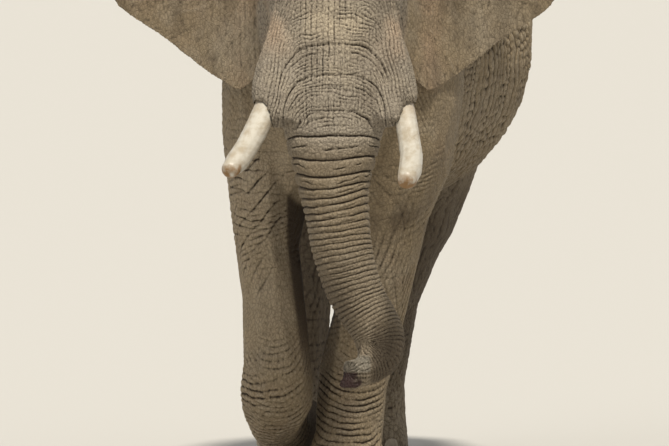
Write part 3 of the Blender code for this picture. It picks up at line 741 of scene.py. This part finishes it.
def body_depth(points):
    x, y, z = points.T
    warp = np.stack([cloud(points, 0.16, 50 + k) for k in range(3)], 1) * 0.032
    small = cracks(points + warp, (0.034, 0.032, 0.040), 54, 0.5, 0.22)
    back = y + 0.5 * np.abs(x) + 0.30 * (z - 1.7) ** 2
    column = np.interp(back, COLUMN_PLACES, COLUMN_NUMBERS) + cloud(points, (0.20, 0.20, 0.30), 53)
    column += 0.32 * noise(points, (0.07, 0.07, 0.09), 59)
    number = np.floor(column)
    row = z / CROSSING_SPACING + 2.5 * noise(np.stack([number, 0 * number, z / 0.35], 1), (0.7, 1.0, 1.0), 56)
    row += 0.35 * noise(points, 0.05, 60)
    upright = fold(column, np.interp(back, COLUMN_PLACES, COLUMN_SPACING), FLANK_CREASE, 0.40, 2)
    upright *= patches(points, (0.14, 0.14, 0.20), 55, 0.85, 0.5)
    crossing = fold(row, CROSSING_SPACING, FLANK_CREASE, 0.40, 2) * patches(points, 0.09, 61, 0.60, 0.8)
    forward = ramp(y, 1.4, 0.6)
    flank = (0.0062 + 0.0080 * forward) * upright + (0.0046 + 0.0056 * forward) * crossing + 0.0034 * small
    flank *= 0.45 + 0.55 * ramp(z, 2.85, 2.40)
    streaks = groove((x * 0.8 + z * 0.5 + y * 0.3 + 0.02 * cloud(points, 0.2, 57)) / 0.021, 0.2)
    streaks *= patches(points, (0.08, 0.08, 0.16), 58, 0.5)
    side = ramp(y + 0.12 * noise(points, 0.15, 48), -0.34, 0.04)
    return flank * side + (0.0040 * streaks + 0.0034 * small) * (1 - side)


EAR_ROOT = (0.20, 2.46)  # the ears' lines fan out from this far across the face and this height


def ear_depth(points):
    x, _, z = in_head(points)
    wide = np.abs(x)
    out = np.hypot(wide - EAR_ROOT[0], z - EAR_ROOT[1])
    angle = np.arctan2(EAR_ROOT[1] - z, wide - EAR_ROOT[0])
    polar = np.stack([angle * 0.5, out * 0.22, np.zeros(len(points))], 1)
    lines = groove(angle * 26 + 1.6 * cloud(polar, 0.10, 61), 0.20) * (0.5 + 0.5 * noise(polar, 0.03, 62))
    veins = crease(noise(polar, (0.085, 0.05, 1.0), 63), 0.12)
    fine = cracks(points, (0.020, 0.020, 0.026), 65)
    lengthwise = groove((wide + 0.01 * cloud(points, 0.1, 66)) / 0.022, 0.2) * ramp(wide, 0.56, 0.38)
    lengthwise *= patches(points, (0.05, 0.05, 0.16), 67, 0.3)
    soft = 0.5 + 0.5 * cloud(points, 0.14, 64)
    folds = cracks(points + 0.02 * soft[:, None], (0.055, 0.05, 0.11), 68, 0.5)
    depth = 0.0014 * lines + 0.0022 * (1 - veins) + 0.0090 * soft + 0.0012 * fine + 0.0020 * lengthwise
    return depth + 0.0020 * folds


def to_line(points, line):
    """Each point's distance from a line of a few places."""
    best = np.full(len(points), 1e9)
    for a, b in zip(line[:-1], line[1:]):
        t = np.clip((points - a) @ (b - a) / ((b - a) @ (b - a)), 0, 1)
        best = np.minimum(best, np.linalg.norm(points - a - t[:, None] * (b - a), axis=1))
    return best


def colour_zones(points, normals, shares):
    """How much of each tint of the skin, and of painted light and shade, each point has."""
    x, _, z = in_head(points)
    wide = np.abs(x)
    trunk, ear, body, lifted = (shares[region] for region in ("trunk", "ear", "body", "front_right"))
    face = shares["head"] + trunk
    front = shares["front_left"] + lifted
    hind = shares["hind_left"] + shares["hind_right"]
    low_trunk = trunk * ramp(z, 1.74, 1.60)
    spots = 0.5 + 0.5 * cloud(points, 0.10, 81)
    blotches = 0.5 + 0.5 * cloud(points, 0.35, 82)

    cream_and_painted_light = face * bump_at(x, 0.0, 0.15) * bump_at(z, 2.24, 0.11) * ramp(spots, 0.20, 0.6)
    # Painted light on the lit outer side of the lifted right foreleg.
    cream_and_painted_light += 0.26 * lifted * ramp(z, 0.45, 0.75) * ramp(x, -0.16, -0.24)
    cream_and_painted_light += 0.5 * face * bump_at(x, 0.0, 0.12) * bump_at(z, 1.96, 0.16) * ramp(spots, 0.35, 0.8)
    rust = 0.60 * face * bump_at(wide, 0.27, 0.065) * bump_at(z, 2.19, 0.16) * ramp(spots, 0.2, 0.8)
    rust += 0.42 * ear * bump_at(wide, 0.42, 0.10) * ramp(spots, 0.3, 0.7)
    rust += 0.30 * ear * ramp(blotches, 0.5, 0.9) + 0.18 * front * ramp(spots, 0.45, 0.9)
    tan = 0.95 * front + 0.85 * body + 0.90 * ear + 0.60 * hind + 0.15 * face + 0.60 * low_trunk
    tan *= 0.55 + 0.9 * blotches

    # Painted shade between the forelegs: on their sides that face each other and on the body between them.
    inward = points[:, 0] - between_legs("front")
    toward = np.where(inward < 0, normals[:, 0], -normals[:, 0])
    inner = ramp(np.abs(inward), 0.34, 0.22) * ramp(z, 2.2, 1.9) * ramp(points[:, 1], -0.75, -0.60)
    shade_and_dark_tone = 0.92 * front * inner * ramp(toward, 0.45, 0.95) * ramp(z, 0.35, 0.9) + 0.90 * body * inner
    # Darker tone on the lower trunk and in patches on the legs, body and ears.
    shade_and_dark_tone += 0.22 * low_trunk + (front + body + ear) * (0.26 * ramp(spots, 0.60, 0.95) + 0.10 * blotches)
    # Painted shade on the body behind the forelegs, low down.
    shade_and_dark_tone += 0.55 * body * ramp(points[:, 1], -0.10, 0.35) * ramp(z, 1.75, 1.15)
    shade_and_dark_tone += 0.34 * ear * ramp(cloud(points, (0.07, 0.07, 0.22), 83), 0.0, 0.5)
    # Painted shade on the hind legs under the body.
    shade_and_dark_tone += 0.72 * hind * ramp(z, 0.10, 0.6)
    shade_and_dark_tone += 0.45 * shares["front_left"] * bump_at(z, 1.30, 0.13) * ramp(spots, 0.35, 0.7)
    # Painted shade on the outer side of the trunk's bend, low down.
    shade_and_dark_tone += 0.50 * trunk * ramp(z, 0.93, 0.80) * ramp(x, 0.150, 0.180)
    # Painted shade along the right side of the lower trunk.
    shade_and_dark_tone += 0.35 * trunk * ramp(x, 0.13, 0.02) * ramp(z, 1.25, 0.95)
    # Painted shade on the lifted right foreleg: near its foot and on its inner side.
    run, _, _ = along(points, LEG_LINES["front_right"])
    shade_and_dark_tone += lifted * (0.42 * ramp(run, 1.62, 1.80) + 0.35 * ramp(x, -0.16, -0.08))

    # The tip of the trunk has a pale rim and is maroon inside, with a small painted highlight on the lower
    # finger.
    pale_and_glint = trunk * ramp(x, 0.172, 0.155) * ramp(z, 0.655, 0.665) * ramp(z, 0.745, 0.722) * (0.5 + 0.5 * spots)
    # A painted highlight on the lower finger.
    pale_and_glint += 0.40 * trunk * bump_at(x, 0.098, 0.014) * bump_at(z, 0.628, 0.012)
    finger = to_line(points, LOWER_FINGER)
    maroon = trunk * ramp(finger, 0.085, 0.06) * ramp(z, 0.668, 0.655) * ramp(normals[:, 2], -0.45, -0.10)
    maroon *= ramp(x, 0.135, 0.115)
    return {"cream_and_painted_light": cream_and_painted_light, "rust": rust, "tan": tan, "shade_and_dark_tone": shade_and_dark_tone, "pale_and_glint": pale_and_glint, "maroon": maroon}


def shelves(sizes, margin=0.02):
    """Places for rectangles in rows, tallest first, and the side of the square that they fill."""
    width = 1.15 * math.sqrt(sum(w * h for w, h in sizes.values()))
    places, x, y, row = {}, 0.0, 0.0, 0.0
    for key in sorted(sizes, key=lambda k: (-sizes[k][1], k)):
        w, h = sizes[key]
        if x and x + w > width:
            x, y, row = 0.0, y + row + margin, 0.0
        places[key] = (x, y)
        x, row = x + w + margin, max(row, h)
    return places, max(width, y + row, max(w for w, _ in sizes.values()))


def unwrapped(mesh, points, normals, shares):
    """Gives the mesh its OFBake map, where each region as seen along each axis from each side is a chart."""
    region = np.argmax(np.stack(list(shares.values())), 0)
    axis = np.argmax(np.abs(normals), 1)
    ahead = normals[np.arange(len(normals)), axis] > 0
    chart_of_point = region * 6 + axis * 2 + ahead
    corner = read(mesh.loops, "vertex_index", np.int32)
    start = read(mesh.polygons, "loop_start", np.int32)
    chart = np.repeat(chart_of_point[corner[start]], read(mesh.polygons, "loop_total", np.int32))
    across = np.array((1, 0, 0))[chart % 6 // 2]
    upward = np.array((2, 2, 1))[chart % 6 // 2]
    flat = np.stack([points[corner, across], points[corner, upward]], 1)
    boxes = {c: (flat[chart == c].min(0), flat[chart == c].max(0)) for c in np.unique(chart)}
    places, side = shelves({c: tuple(high - low) for c, (low, high) in boxes.items()})
    for c, (low, _) in boxes.items():
        flat[chart == c] += np.array(places[c]) - low
    set_map(mesh, 0.002 + 0.996 * flat / side)


def set_map(mesh, corners):
    uv = mesh.uv_layers.new(name="OFBake")
    uv.data.foreach_set("uv", corners.astype(np.float32).ravel())


def wrinkled(made):
    """The skin with every wrinkle's depth taken off it, and what the material needs written on it."""
    mesh = made.data
    points = points_of(mesh)
    shares = {region: attribute(mesh, region) for region in REGIONS}
    work = {"head": head_depth, "trunk": trunk_depth, "ear": ear_depth, "body": body_depth}
    depth = np.zeros(len(points))
    for region, share in shares.items():
        here = share > 0.004
        found = work[region](points[here]) if region in work else leg_depth(points[here], region)
        depth[here] += found * share[here]

    near = Neighbours(mesh)
    soft = near.spread(points, 2)
    set_points(mesh, soft)
    normals = normals_of(mesh)
    depth *= np.clip((points[:, 2] - 0.004) / 0.02, 0, 1)  # the soles stay flat
    set_points(mesh, soft - normals * (depth + SWELL)[:, None])
    # The cavity paints shade in the creases and a highlight on the ridges; the body gets less of both, and
    # less still towards its back.
    less_crease_shade = shares["body"] * (0.46 + 0.16 * ramp(points[:, 1], 0.30, 1.10))
    attribute(mesh, "cavity", (depth - near.spread(depth, 14)) * (1 - less_crease_shade))
    for zone, amount in colour_zones(points, normals, shares).items():
        attribute(mesh, zone, near.spread(np.clip(amount, 0, 1), 0 if zone in ("pale_and_glint", "maroon") else 12))
    unwrapped(mesh, soft, normals, shares)
    for region in REGIONS:
        mesh.attributes.remove(mesh.attributes[region])


def skin():
    made = base_skin()
    mesh = made.data
    divided(made, attribute(mesh, "fine") > 1.5, 2)
    fineness = attribute(mesh, "fine")
    divided(made, (fineness > 0.5) & (fineness < 1.99), 1)
    wrinkled(made)
    dressed(made, skin_material())
    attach(made, "root")
    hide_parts(*nodes_with("skin"))


# ---- materials


class Nodes:
    """A material's nodes, added and linked in one call each."""

    def __init__(self, name):
        self.material = bpy.data.materials.new(name)
        self.material.use_nodes = True
        self.tree = self.material.node_tree
        self.shader = self.tree.nodes["Principled BSDF"]

    def add(self, kind, settings=None, **inputs):
        node = self.tree.nodes.new(kind)
        for name, value in (settings or {}).items():
            setattr(node, name, value)
        for name, value in inputs.items():
            self.feed(node, name.replace("_", " "), value)
        return node

    def feed(self, node, socket, value):
        target = node.inputs[int(socket) if socket.isdigit() else socket]
        if isinstance(value, bpy.types.NodeSocket):
            self.tree.links.new(value, target)
        else:
            target.default_value = value

    def maths(self, operation, a, b=0.0, clamp=False):
        node = self.add("ShaderNodeMath", {"operation": operation, "use_clamp": clamp})
        self.feed(node, "0", a)
        self.feed(node, "1", b)
        return node.outputs[0]

    def number(self, name):
        return self.add("ShaderNodeAttribute", {"attribute_name": name}).outputs["Fac"]

    def mix(self, share, a, b, how="MIX"):
        node = self.add("ShaderNodeMix", {"data_type": "RGBA", "blend_type": how})
        self.feed(node, "0", share)
        for index, value in ((6, a), (7, b)):
            if not isinstance(value, bpy.types.NodeSocket):
                value = (*value, 1.0)
            self.feed(node, str(index), value)
        return node.outputs[2]

    def place(self, scale=(1, 1, 1)):
        coordinates = self.add("ShaderNodeTexCoord").outputs["Object"]
        return self.add("ShaderNodeMapping", Vector=coordinates, Scale=scale).outputs["Vector"]

    def noise(self, scale, detail=4.0, roughness=0.55, stretch=(1, 1, 1)):
        node = self.add("ShaderNodeTexNoise", Vector=self.place(stretch), Scale=scale, Detail=detail)
        node.inputs["Roughness"].default_value = roughness
        return node.outputs["Fac"]

    def cells(self, scale, stretch=(1, 1, 1)):
        edges = {"feature": "DISTANCE_TO_EDGE"}
        node = self.add("ShaderNodeTexVoronoi", edges, Vector=self.place(stretch), Scale=scale)
        return node.outputs["Distance"]

    def span(self, value, low, high, to_low=0.0, to_high=1.0):
        ends = {"From_Min": low, "From_Max": high, "To_Min": to_low, "To_Max": to_high}
        return self.add("ShaderNodeMapRange", Value=value, **ends).outputs["Result"]

    def bump(self, height, distance, strength=1.0, normal=None):
        node = self.add("ShaderNodeBump", Height=height, Distance=distance, Strength=strength)
        if normal is not None:
            self.feed(node, "Normal", normal)
        return node.outputs["Normal"]

    def finish(self, colour, roughness, normal=None, **more):
        self.feed(self.shader, "Base Color", colour)
        self.feed(self.shader, "Roughness", roughness)
        if normal is not None:
            self.feed(self.shader, "Normal", normal)
        for name, value in more.items():
            self.feed(self.shader, name.replace("_", " "), value)
        return self.material


def skin_material():
    n = Nodes("skin")
    grey = n.mix(n.span(n.noise(2.6, 5.0), 0.35, 0.68), (0.250, 0.214, 0.168), (0.335, 0.292, 0.232))
    colour = n.mix(n.number("tan"), grey, (0.270, 0.207, 0.126))
    colour = n.mix(n.span(n.noise(8.0, 4.0), 0.50, 0.75, 0.0, 0.45), colour, (0.390, 0.330, 0.240))
    colour = n.mix(n.span(n.noise(5.0, 4.0), 0.52, 0.78, 0.0, 0.60), colour, (0.170, 0.136, 0.098))
    # Tints: rust; cream, which also paints light on the lifted foreleg; pale, which also paints a highlight
    # on the lower finger.
    tints = (("rust", (0.38, 0.258, 0.165)), ("cream_and_painted_light", (0.50, 0.415, 0.295)), ("pale_and_glint", (0.225, 0.212, 0.175)))
    for zone, tint in tints:
        colour = n.mix(n.number(zone), colour, tint)
    speckle = n.span(n.noise(60.0, 5.0), 0.32, 0.70, 0.88, 1.08)
    grain = n.add("ShaderNodeCombineColor", Red=speckle, Green=speckle, Blue=speckle).outputs[0]
    colour = n.mix(1.0, colour, grain, "MULTIPLY")
    # Ridges beside deep creases are lighter: partly dust, partly a painted highlight.
    ridge_highlight_and_dust = n.span(n.number("cavity"), -0.0004, -0.0030, 0.0, 0.36)
    colour = n.mix(ridge_highlight_and_dust, colour, (0.52, 0.445, 0.335))
    # Darker tone in patches, and painted shade between the legs, under the body, on the hind legs and on the
    # trunk.
    colour = n.mix(n.number("shade_and_dark_tone"), colour, (0.040, 0.026, 0.015))
    # Painted shade in the creases, darkest where a crease lies deepest below its neighbours.
    crease_shade = n.span(n.number("cavity"), 0.0001, 0.0030, 0.0, 0.95)
    colour = n.mix(crease_shade, colour, (0.022, 0.014, 0.009))
    fine = n.span(n.cells(62.0, stretch=(1, 1, 0.7)), 0.0, 0.16)
    finer = n.span(n.cells(170.0), 0.0, 0.20)
    colour = n.mix(n.span(fine, 0.0, 1.0, 0.34, 0.0), colour, (0.060, 0.042, 0.027))
    inside = n.number("maroon")
    shown = n.maths("SUBTRACT", inside, n.maths("MULTIPLY", n.number("pale_and_glint"), 0.7), True)
    colour = n.mix(shown, colour, (0.019, 0.006, 0.004))
    normal = n.bump(fine, 0.0016, 1.0, n.bump(finer, 0.0008))
    return n.finish(colour, n.span(inside, 0.0, 1.0, 0.80, 0.50), normal, Specular_IOR_Level=0.28)


# ---- tusks, nails and eyes


def ivory_material():
    n = Nodes("ivory")
    tip = n.number("tip")
    streaks = n.noise(26.0, 5.0, 0.6, (1.0, 0.22, 1.0))
    colour = n.mix(n.span(streaks, 0.42, 0.66), (0.50, 0.465, 0.395), (0.37, 0.315, 0.235))
    stain = n.maths("MULTIPLY", n.span(n.noise(14.0, 4.0), 0.34, 0.60), tip, True)
    colour = n.mix(n.maths("MULTIPLY", stain, 1.60, True), colour, (0.215, 0.115, 0.038))
    colour = n.mix(n.maths("MULTIPLY", n.number("root"), 0.75), colour, (0.30, 0.21, 0.12))
    crack = n.span(n.cells(9.0, stretch=(1.6, 0.35, 1.0)), 0.0, 0.012, 1.0, 0.0)
    crack = n.maths("MULTIPLY", crack, n.span(n.noise(6.0), 0.50, 0.62), True)
    colour = n.mix(n.maths("MULTIPLY", crack, 0.35), colour, (0.16, 0.10, 0.05))
    shine = n.span(streaks, 0.3, 0.7, 0.34, 0.5)
    return n.finish(colour, shine, n.bump(streaks, 0.0010), Specular_IOR_Level=0.5)


def smooth_copy(name, nodes, voxel, weight, rounds):
    """A finer copy of some solids and its points, with their lumps taken out."""
    made = fused(copy_of_nodes(name, nodes), voxel)
    mesh = made.data
    return made, evened(points_of(mesh), Neighbours(mesh), np.full(len(mesh.vertices), weight), rounds)


def tusk(node, material):
    """A finer copy of a tusk, with long faint ridges and a worn tip."""
    made, points = smooth_copy(f"{node}_ivory", [node], TUSK_VOXEL, 0.8, 25)
    mesh = made.data
    low, high = points[:, 1].min(), points[:, 1].max()
    far = (high - points[:, 1]) / (high - low)
    ridges = cloud(points, (0.012, 0.25, 0.012), 91)
    set_points(mesh, points)
    normals = normals_of(mesh)
    set_points(mesh, points - normals * (0.0012 * (ridges + 1))[:, None])
    attribute(mesh, "tip", ramp(far, 0.885, 0.965) * ramp(normals[:, 2], 0.75, -0.15))
    attribute(mesh, "root", 1 - ramp(far, 0.16, 0.36))
    dressed(made, material)
    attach(made, "root")
    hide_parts(node)


LIFTED_NAILS = "nail_front_right"


def nail_material():
    n = Nodes("nail")
    grain = n.noise(60.0, 4.0, 0.6, (1.0, 1.0, 0.25))
    colour = n.mix(n.span(grain, 0.35, 0.7), (0.37, 0.315, 0.235), (0.25, 0.205, 0.150))
    return n.finish(colour, 0.62, n.bump(grain, 0.0012), Specular_IOR_Level=0.35)


def squared_below(points, foot):
    """A toenail's points, its round lower half made as wide as its middle."""
    centre = (points.min(0) + points.max(0)) / 2
    out = centre - foot
    along_rim = np.array((-out[1], out[0], 0.0)) / math.hypot(out[0], out[1])
    low = np.clip((centre[2] - points[:, 2]) / (centre[2] - points[:, 2].min()), 0, 1)
    wider = 1 / np.sqrt(1 - np.minimum(low, 0.80) ** 2)
    return points + ((points - centre) @ along_rim * (wider - 1))[:, None] * along_rim


def toenails():
    nodes = nodes_with("nail")
    made, points = smooth_copy("toenails", nodes, NAIL_VOXEL, 0.9, 45)
    boxes = np.array([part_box(node) for node in nodes])
    owner = np.argmin(np.linalg.norm(points[:, None] - boxes.mean(1)[None], axis=2), axis=1)
    for index, node in enumerate(nodes):
        its = owner == index
        if not node.startswith(LIFTED_NAILS):
            points[its] = squared_below(points[its], LEG_LINES[node.split("_", 1)[1][:-2]][-1])
    set_points(made.data, points)
    dressed(made, nail_material())
    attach(made, "root")
    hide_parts(*nodes)


def eye_material():
    n = Nodes("eye")
    gaze = n.number("gaze")
    iris = n.mix(n.span(n.noise(400.0, 3.0), 0.4, 0.6), (0.095, 0.040, 0.012), (0.155, 0.075, 0.024))
    colour = n.mix(n.span(gaze, 0.90, 0.93), (0.020, 0.012, 0.008), iris)
    colour = n.mix(n.span(gaze, 0.975, 0.98), colour, (0.004, 0.003, 0.003))
    return n.finish(colour, 0.06, None, Specular_IOR_Level=0.6, Coat_Weight=1.0, Coat_Roughness=0.03)


def eye(side, material):
    name = SIDES[side]
    mesh = bpy.data.meshes.new(f"eyeball_{name}")
    with editing(mesh) as shape:
        bmesh.ops.create_uvsphere(shape, u_segments=48, v_segments=32, radius=EYE_RADIUS)
    made = object_from(f"eyeball_{name}", mesh)
    points = points_of(mesh)
    attribute(mesh, "gaze", points @ eye_ways(side)[0] / EYE_RADIUS)
    set_points(mesh, points + np.array(EYES[side]))
    dressed(made, material)
    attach(made, "root")
    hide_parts(f"eye_{name}")


# The lids' rows, from the edge of their opening outwards, and those inside them: the angle round the eyeball
# from that edge, and the distance from its middle as a share of its radius.
LID_ROWS = (
    (0.00, 0.99), (0.00, 1.07), (0.04, 1.11), (0.12, 1.14), (0.22, 1.15), (0.29, 1.12), (0.34, 1.10),
    (0.40, 1.14), (0.52, 1.16), (0.60, 1.13), (0.66, 1.15), (0.80, 1.13), (1.00, 1.04), (1.20, 0.90),
)
LID_INSIDE = ((1.20, 0.88), (0.00, 0.88))
LID_TURNS = 84


def eye_ways(side):
    """An eye's directions: outwards, towards the corner and up."""
    out = from_head([(side * 0.86, -0.5, 0.0)])[0] - np.array(HEAD_PLACE)
    out /= np.linalg.norm(out)
    up = np.array((0.0, 0.0, 1.0)) - out * out[2]
    up /= np.linalg.norm(up)
    return out, np.cross(up, out), up


def opening(turns):
    """The almond-shaped edge of the lids, as angles across and up from the middle of the eye."""
    tall = np.where(np.sin(turns) > 0, 0.50, 0.40)
    return 0.86 * np.cos(turns), tall * np.sin(turns) * np.abs(np.sin(turns)) ** 0.25 - 0.05


def on_eye(side, turns, further, radius):
    """Places round an eye, this much further round it than the edge of the lids."""
    out, across, up = eye_ways(side)
    a, b = opening(turns)
    reach = np.hypot(a, b)
    angle = reach + further
    radial = (a / reach)[:, None] * across + (b / reach)[:, None] * up
    way = np.cos(angle)[:, None] * out + np.sin(angle)[:, None] * radial
    return np.array(EYES[side]) + way * EYE_RADIUS * radius


def lids(side, material):
    """Both lids of an eye, as one ring with an almond-shaped opening and folds round it."""
    turns = np.linspace(0, 2 * math.pi, LID_TURNS, endpoint=False)
    rings = []
    for further, radius in LID_ROWS:
        waver = 0.012 * np.sin(turns * 7 + further * 9) * further
        rings.append(on_eye(side, turns, further, radius) + waver[:, None] * eye_ways(side)[0] * EYE_RADIUS)
    rings += [on_eye(side, turns, further, radius) for further, radius in LID_INSIDE]
    faces = []
    for i in range(len(rings)):
        row, next_row = i * LID_TURNS, (i + 1) % len(rings) * LID_TURNS
        for k in range(LID_TURNS):
            after = (k + 1) % LID_TURNS
            faces.append((row + k, next_row + k, next_row + after, row + after))
    made = object_from(f"lids_{SIDES[side]}", mesh_from("lids", np.concatenate(rings), faces))
    with editing(made.data) as shape:
        bmesh.ops.recalc_face_normals(shape, faces=shape.faces)
    further = np.repeat([row[0] for row in LID_ROWS + LID_INSIDE], LID_TURNS)
    # Painted shade in the creases of the lids' folds.
    attribute(made.data, "cavity", 0.0022 * groove(further / 0.33, 0.14) * (further > 0.1))
    attribute(made.data, "shade_and_dark_tone", 0.42 + 0.45 * ramp(further, 0.03, 0.0))
    dressed(made, material)
    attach(made, "root")


STRAND_SIDES = 5
STRAND_PATCH = 0.003
LASHES = 26
LASH_RADIUS = 0.0011
TAIL_HAIRS = 230
TAIL_HAIR_RADIUS = 0.0021
TAIL_END_RADIUS = 0.016  # the hairs spring from this far round the middle of the tail's end
GOLDEN_ANGLE = 2.39996  # turns that spread the hairs evenly


def strands(name, paths, thickness, places, material):
    """Thin tapering tubes, each with a small patch of the OFBake map at its root's place."""
    sides = STRAND_SIDES
    points, faces, maps = [], [], []
    for path, (u, v) in zip(paths, places):
        first = len(points)
        ways = np.gradient(path, axis=0)
        ways /= np.linalg.norm(ways, axis=1)[:, None]
        side = np.cross(ways[0], (0.31, 0.90, 0.30))
        for i, (place, way) in enumerate(zip(path, ways)):
            side = side - way * (side @ way)
            side /= np.linalg.norm(side)
            other = np.cross(way, side)
            share = i / (len(path) - 1)
            radius = thickness * (1 - 0.85 * share)
            for k in range(sides):
                turn = 2 * math.pi * k / sides
                points.append(place + radius * (math.cos(turn) * side + math.sin(turn) * other))
                maps.append((u + STRAND_PATCH * k / sides, v + STRAND_PATCH * share))
        for i in range(len(path) - 1):
            for k in range(sides):
                a, b = first + i * sides + k, first + i * sides + (k + 1) % sides
                faces.append((a, b, b + sides, a + sides))
        faces.append(tuple(first + k for k in reversed(range(sides))))
        faces.append(tuple(len(points) - sides + k for k in range(sides)))
    made = object_from(name, mesh_from(name, points, faces))
    set_map(made.data, np.array(maps)[read(made.data.loops, "vertex_index", np.int32)])
    dressed(made, material)
    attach(made, "root")
    return made


def hair_material():
    n = Nodes("hair")
    colour = n.mix(n.span(n.noise(30.0, 3.0), 0.35, 0.7), (0.012, 0.009, 0.007), (0.045, 0.032, 0.022))
    return n.finish(colour, 0.45, None, Specular_IOR_Level=0.4)


def lashes(side, material, rng):
    """The long lashes of an upper lid, which slope down from it."""
    out, across, up = eye_ways(side)
    turns = np.linspace(0.13, 0.87, LASHES) * math.pi + rng.uniform(-0.02, 0.02, LASHES)
    roots = on_eye(side, turns, 0.02, 1.09)
    paths = []
    for root, turn in zip(roots, turns):
        length = EYE_RADIUS * rng.uniform(1.3, 1.9) * (0.65 + 0.35 * math.sin(turn))
        way = out * 0.9 + across * 0.45 * math.cos(turn) + up * 0.05
        s = np.linspace(0, 1, 7)[:, None]
        paths.append(root + length * (way * s - up * 0.36 * s**2))
    places = np.stack([0.4 + 0.15 * np.linspace(0, 1, LASHES), np.full(LASHES, 0.5 + 0.1 * side)], 1)
    strands(f"lashes_{SIDES[side]}", paths, LASH_RADIUS, places, material)


def tail_hairs(material, rng):
    """The flat tuft at the end of the tail, as long hairs that fill its shape."""
    corners = corners_of("tail_tuft")
    a, b = corners[edges_of(frame["nodes"]["tail_tuft"].data)].transpose(1, 0, 2)
    corners = np.concatenate([a + (b - a) * step for step in np.linspace(0, 1, 15)])  # all along its edges
    low, high = corners[:, 2].min(), corners[:, 2].max()
    levels = np.linspace(high, low, 9)
    slices = [corners[np.abs(corners[:, 2] - level) < (high - low) * 0.11] for level in levels]
    centres = np.array([(part.min(0) + part.max(0)) / 2 for part in slices])
    halves = np.array([(part.max(0) - part.min(0)) / 2 for part in slices])
    centres[:, 2] = levels
    centres[0, 2] += 0.012  # the roots lie inside the end of the tail
    paths, places = [], []
    share = np.linspace(0, 1, len(levels))
    for number in range(TAIL_HAIRS):
        radius, turn = math.sqrt((number + 0.5) / TAIL_HAIRS), GOLDEN_ANGLE * number
        u, v = radius * math.cos(turn), radius * math.sin(turn)
        start, end = rng.uniform(0.0, 0.04), rng.uniform(0.72, 1.0)
        s = np.linspace(start, end, 9)
        wave = 0.006 * np.sin(s * rng.uniform(4, 8) + rng.uniform(0, 6)) * s
        path = np.stack([np.interp(s, share, centres[:, k]) for k in range(3)], 1)
        for k, offset in ((0, u), (1, v)):
            wider = 0.94 * np.interp(s, share, halves[:, k]) - TAIL_END_RADIUS
            path[:, k] += offset * (TAIL_END_RADIUS + wider * ramp(s, 0.0, 0.30))
        path[:, 0] += wave
        paths.append(path)
        places.append((0.46 + 0.04 * u, 0.05 + 0.04 * v))
    made = strands("tail_hairs", paths, TAIL_HAIR_RADIUS, places, material)
    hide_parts("tail_tuft")


# ---- stage, light and camera


def camera():
    forward = Vector((-math.sin(HEAD_TURN), math.cos(HEAD_TURN), 0))
    made = object_from("camera", bpy.data.cameras.new("camera"))
    made.data.lens = CAMERA_LENS
    made.data.sensor_width = SENSOR_WIDTH
    made.data.clip_end = VIEW_END
    made.location = Vector(HEAD_PLACE) - forward * CAMERA_DISTANCE + Vector((0, 0, CAMERA_HEIGHT))
    look = forward * math.cos(CAMERA_DIP) - Vector((0, 0, math.sin(CAMERA_DIP)))
    made.rotation_euler = look.to_track_quat("-Z", "Y").to_euler()
    bpy.context.scene.camera = made


def sun(name, azimuth, elevation, strength, angle, colour):
    """A lamp in the direction of this azimuth: 0 is in front of the animal, and more is toward its left."""
    lamp = bpy.data.lights.new(name, "SUN")
    lamp.energy = strength
    lamp.angle = math.radians(angle)
    lamp.color = colour
    made = object_from(name, lamp)
    a, e = math.radians(azimuth), math.radians(elevation)
    toward = Vector((math.sin(a) * math.cos(e), -math.cos(a) * math.cos(e), math.sin(e)))
    made.rotation_euler = (-toward).to_track_quat("-Z", "Y").to_euler()


def studio():
    floor = object_from("floor", bpy.data.meshes.new("floor"))
    with editing(floor.data) as shape:
        bmesh.ops.create_grid(shape, x_segments=1, y_segments=1, size=FLOOR_HALF)
    n = Nodes("floor")
    floor.data.materials.append(n.finish(FLOOR_COLOUR, 0.9, None, Specular_IOR_Level=0.1))
    world = bpy.data.worlds.new("sky")
    bpy.context.scene.world = world
    world.use_nodes = True
    background = world.node_tree.nodes["Background"]
    background.inputs["Color"].default_value = SKY_COLOUR
    background.inputs["Strength"].default_value = SKY_STRENGTH
    for lamp in SUNS:
        sun(*lamp)
    bpy.context.scene.view_settings.view_transform = "Standard"


skin()
ivory = ivory_material()
for tusk_node in nodes_with("ivory"):
    tusk(tusk_node, ivory)
toenails()
wet, dark_hair = eye_material(), hair_material()
draws = np.random.default_rng(7)
for eye_side in EYES:
    eye(eye_side, wet)
    lids(eye_side, bpy.data.materials["skin"])
    lashes(eye_side, dark_hair, draws)
tail_hairs(dark_hair, draws)
camera()
studio()
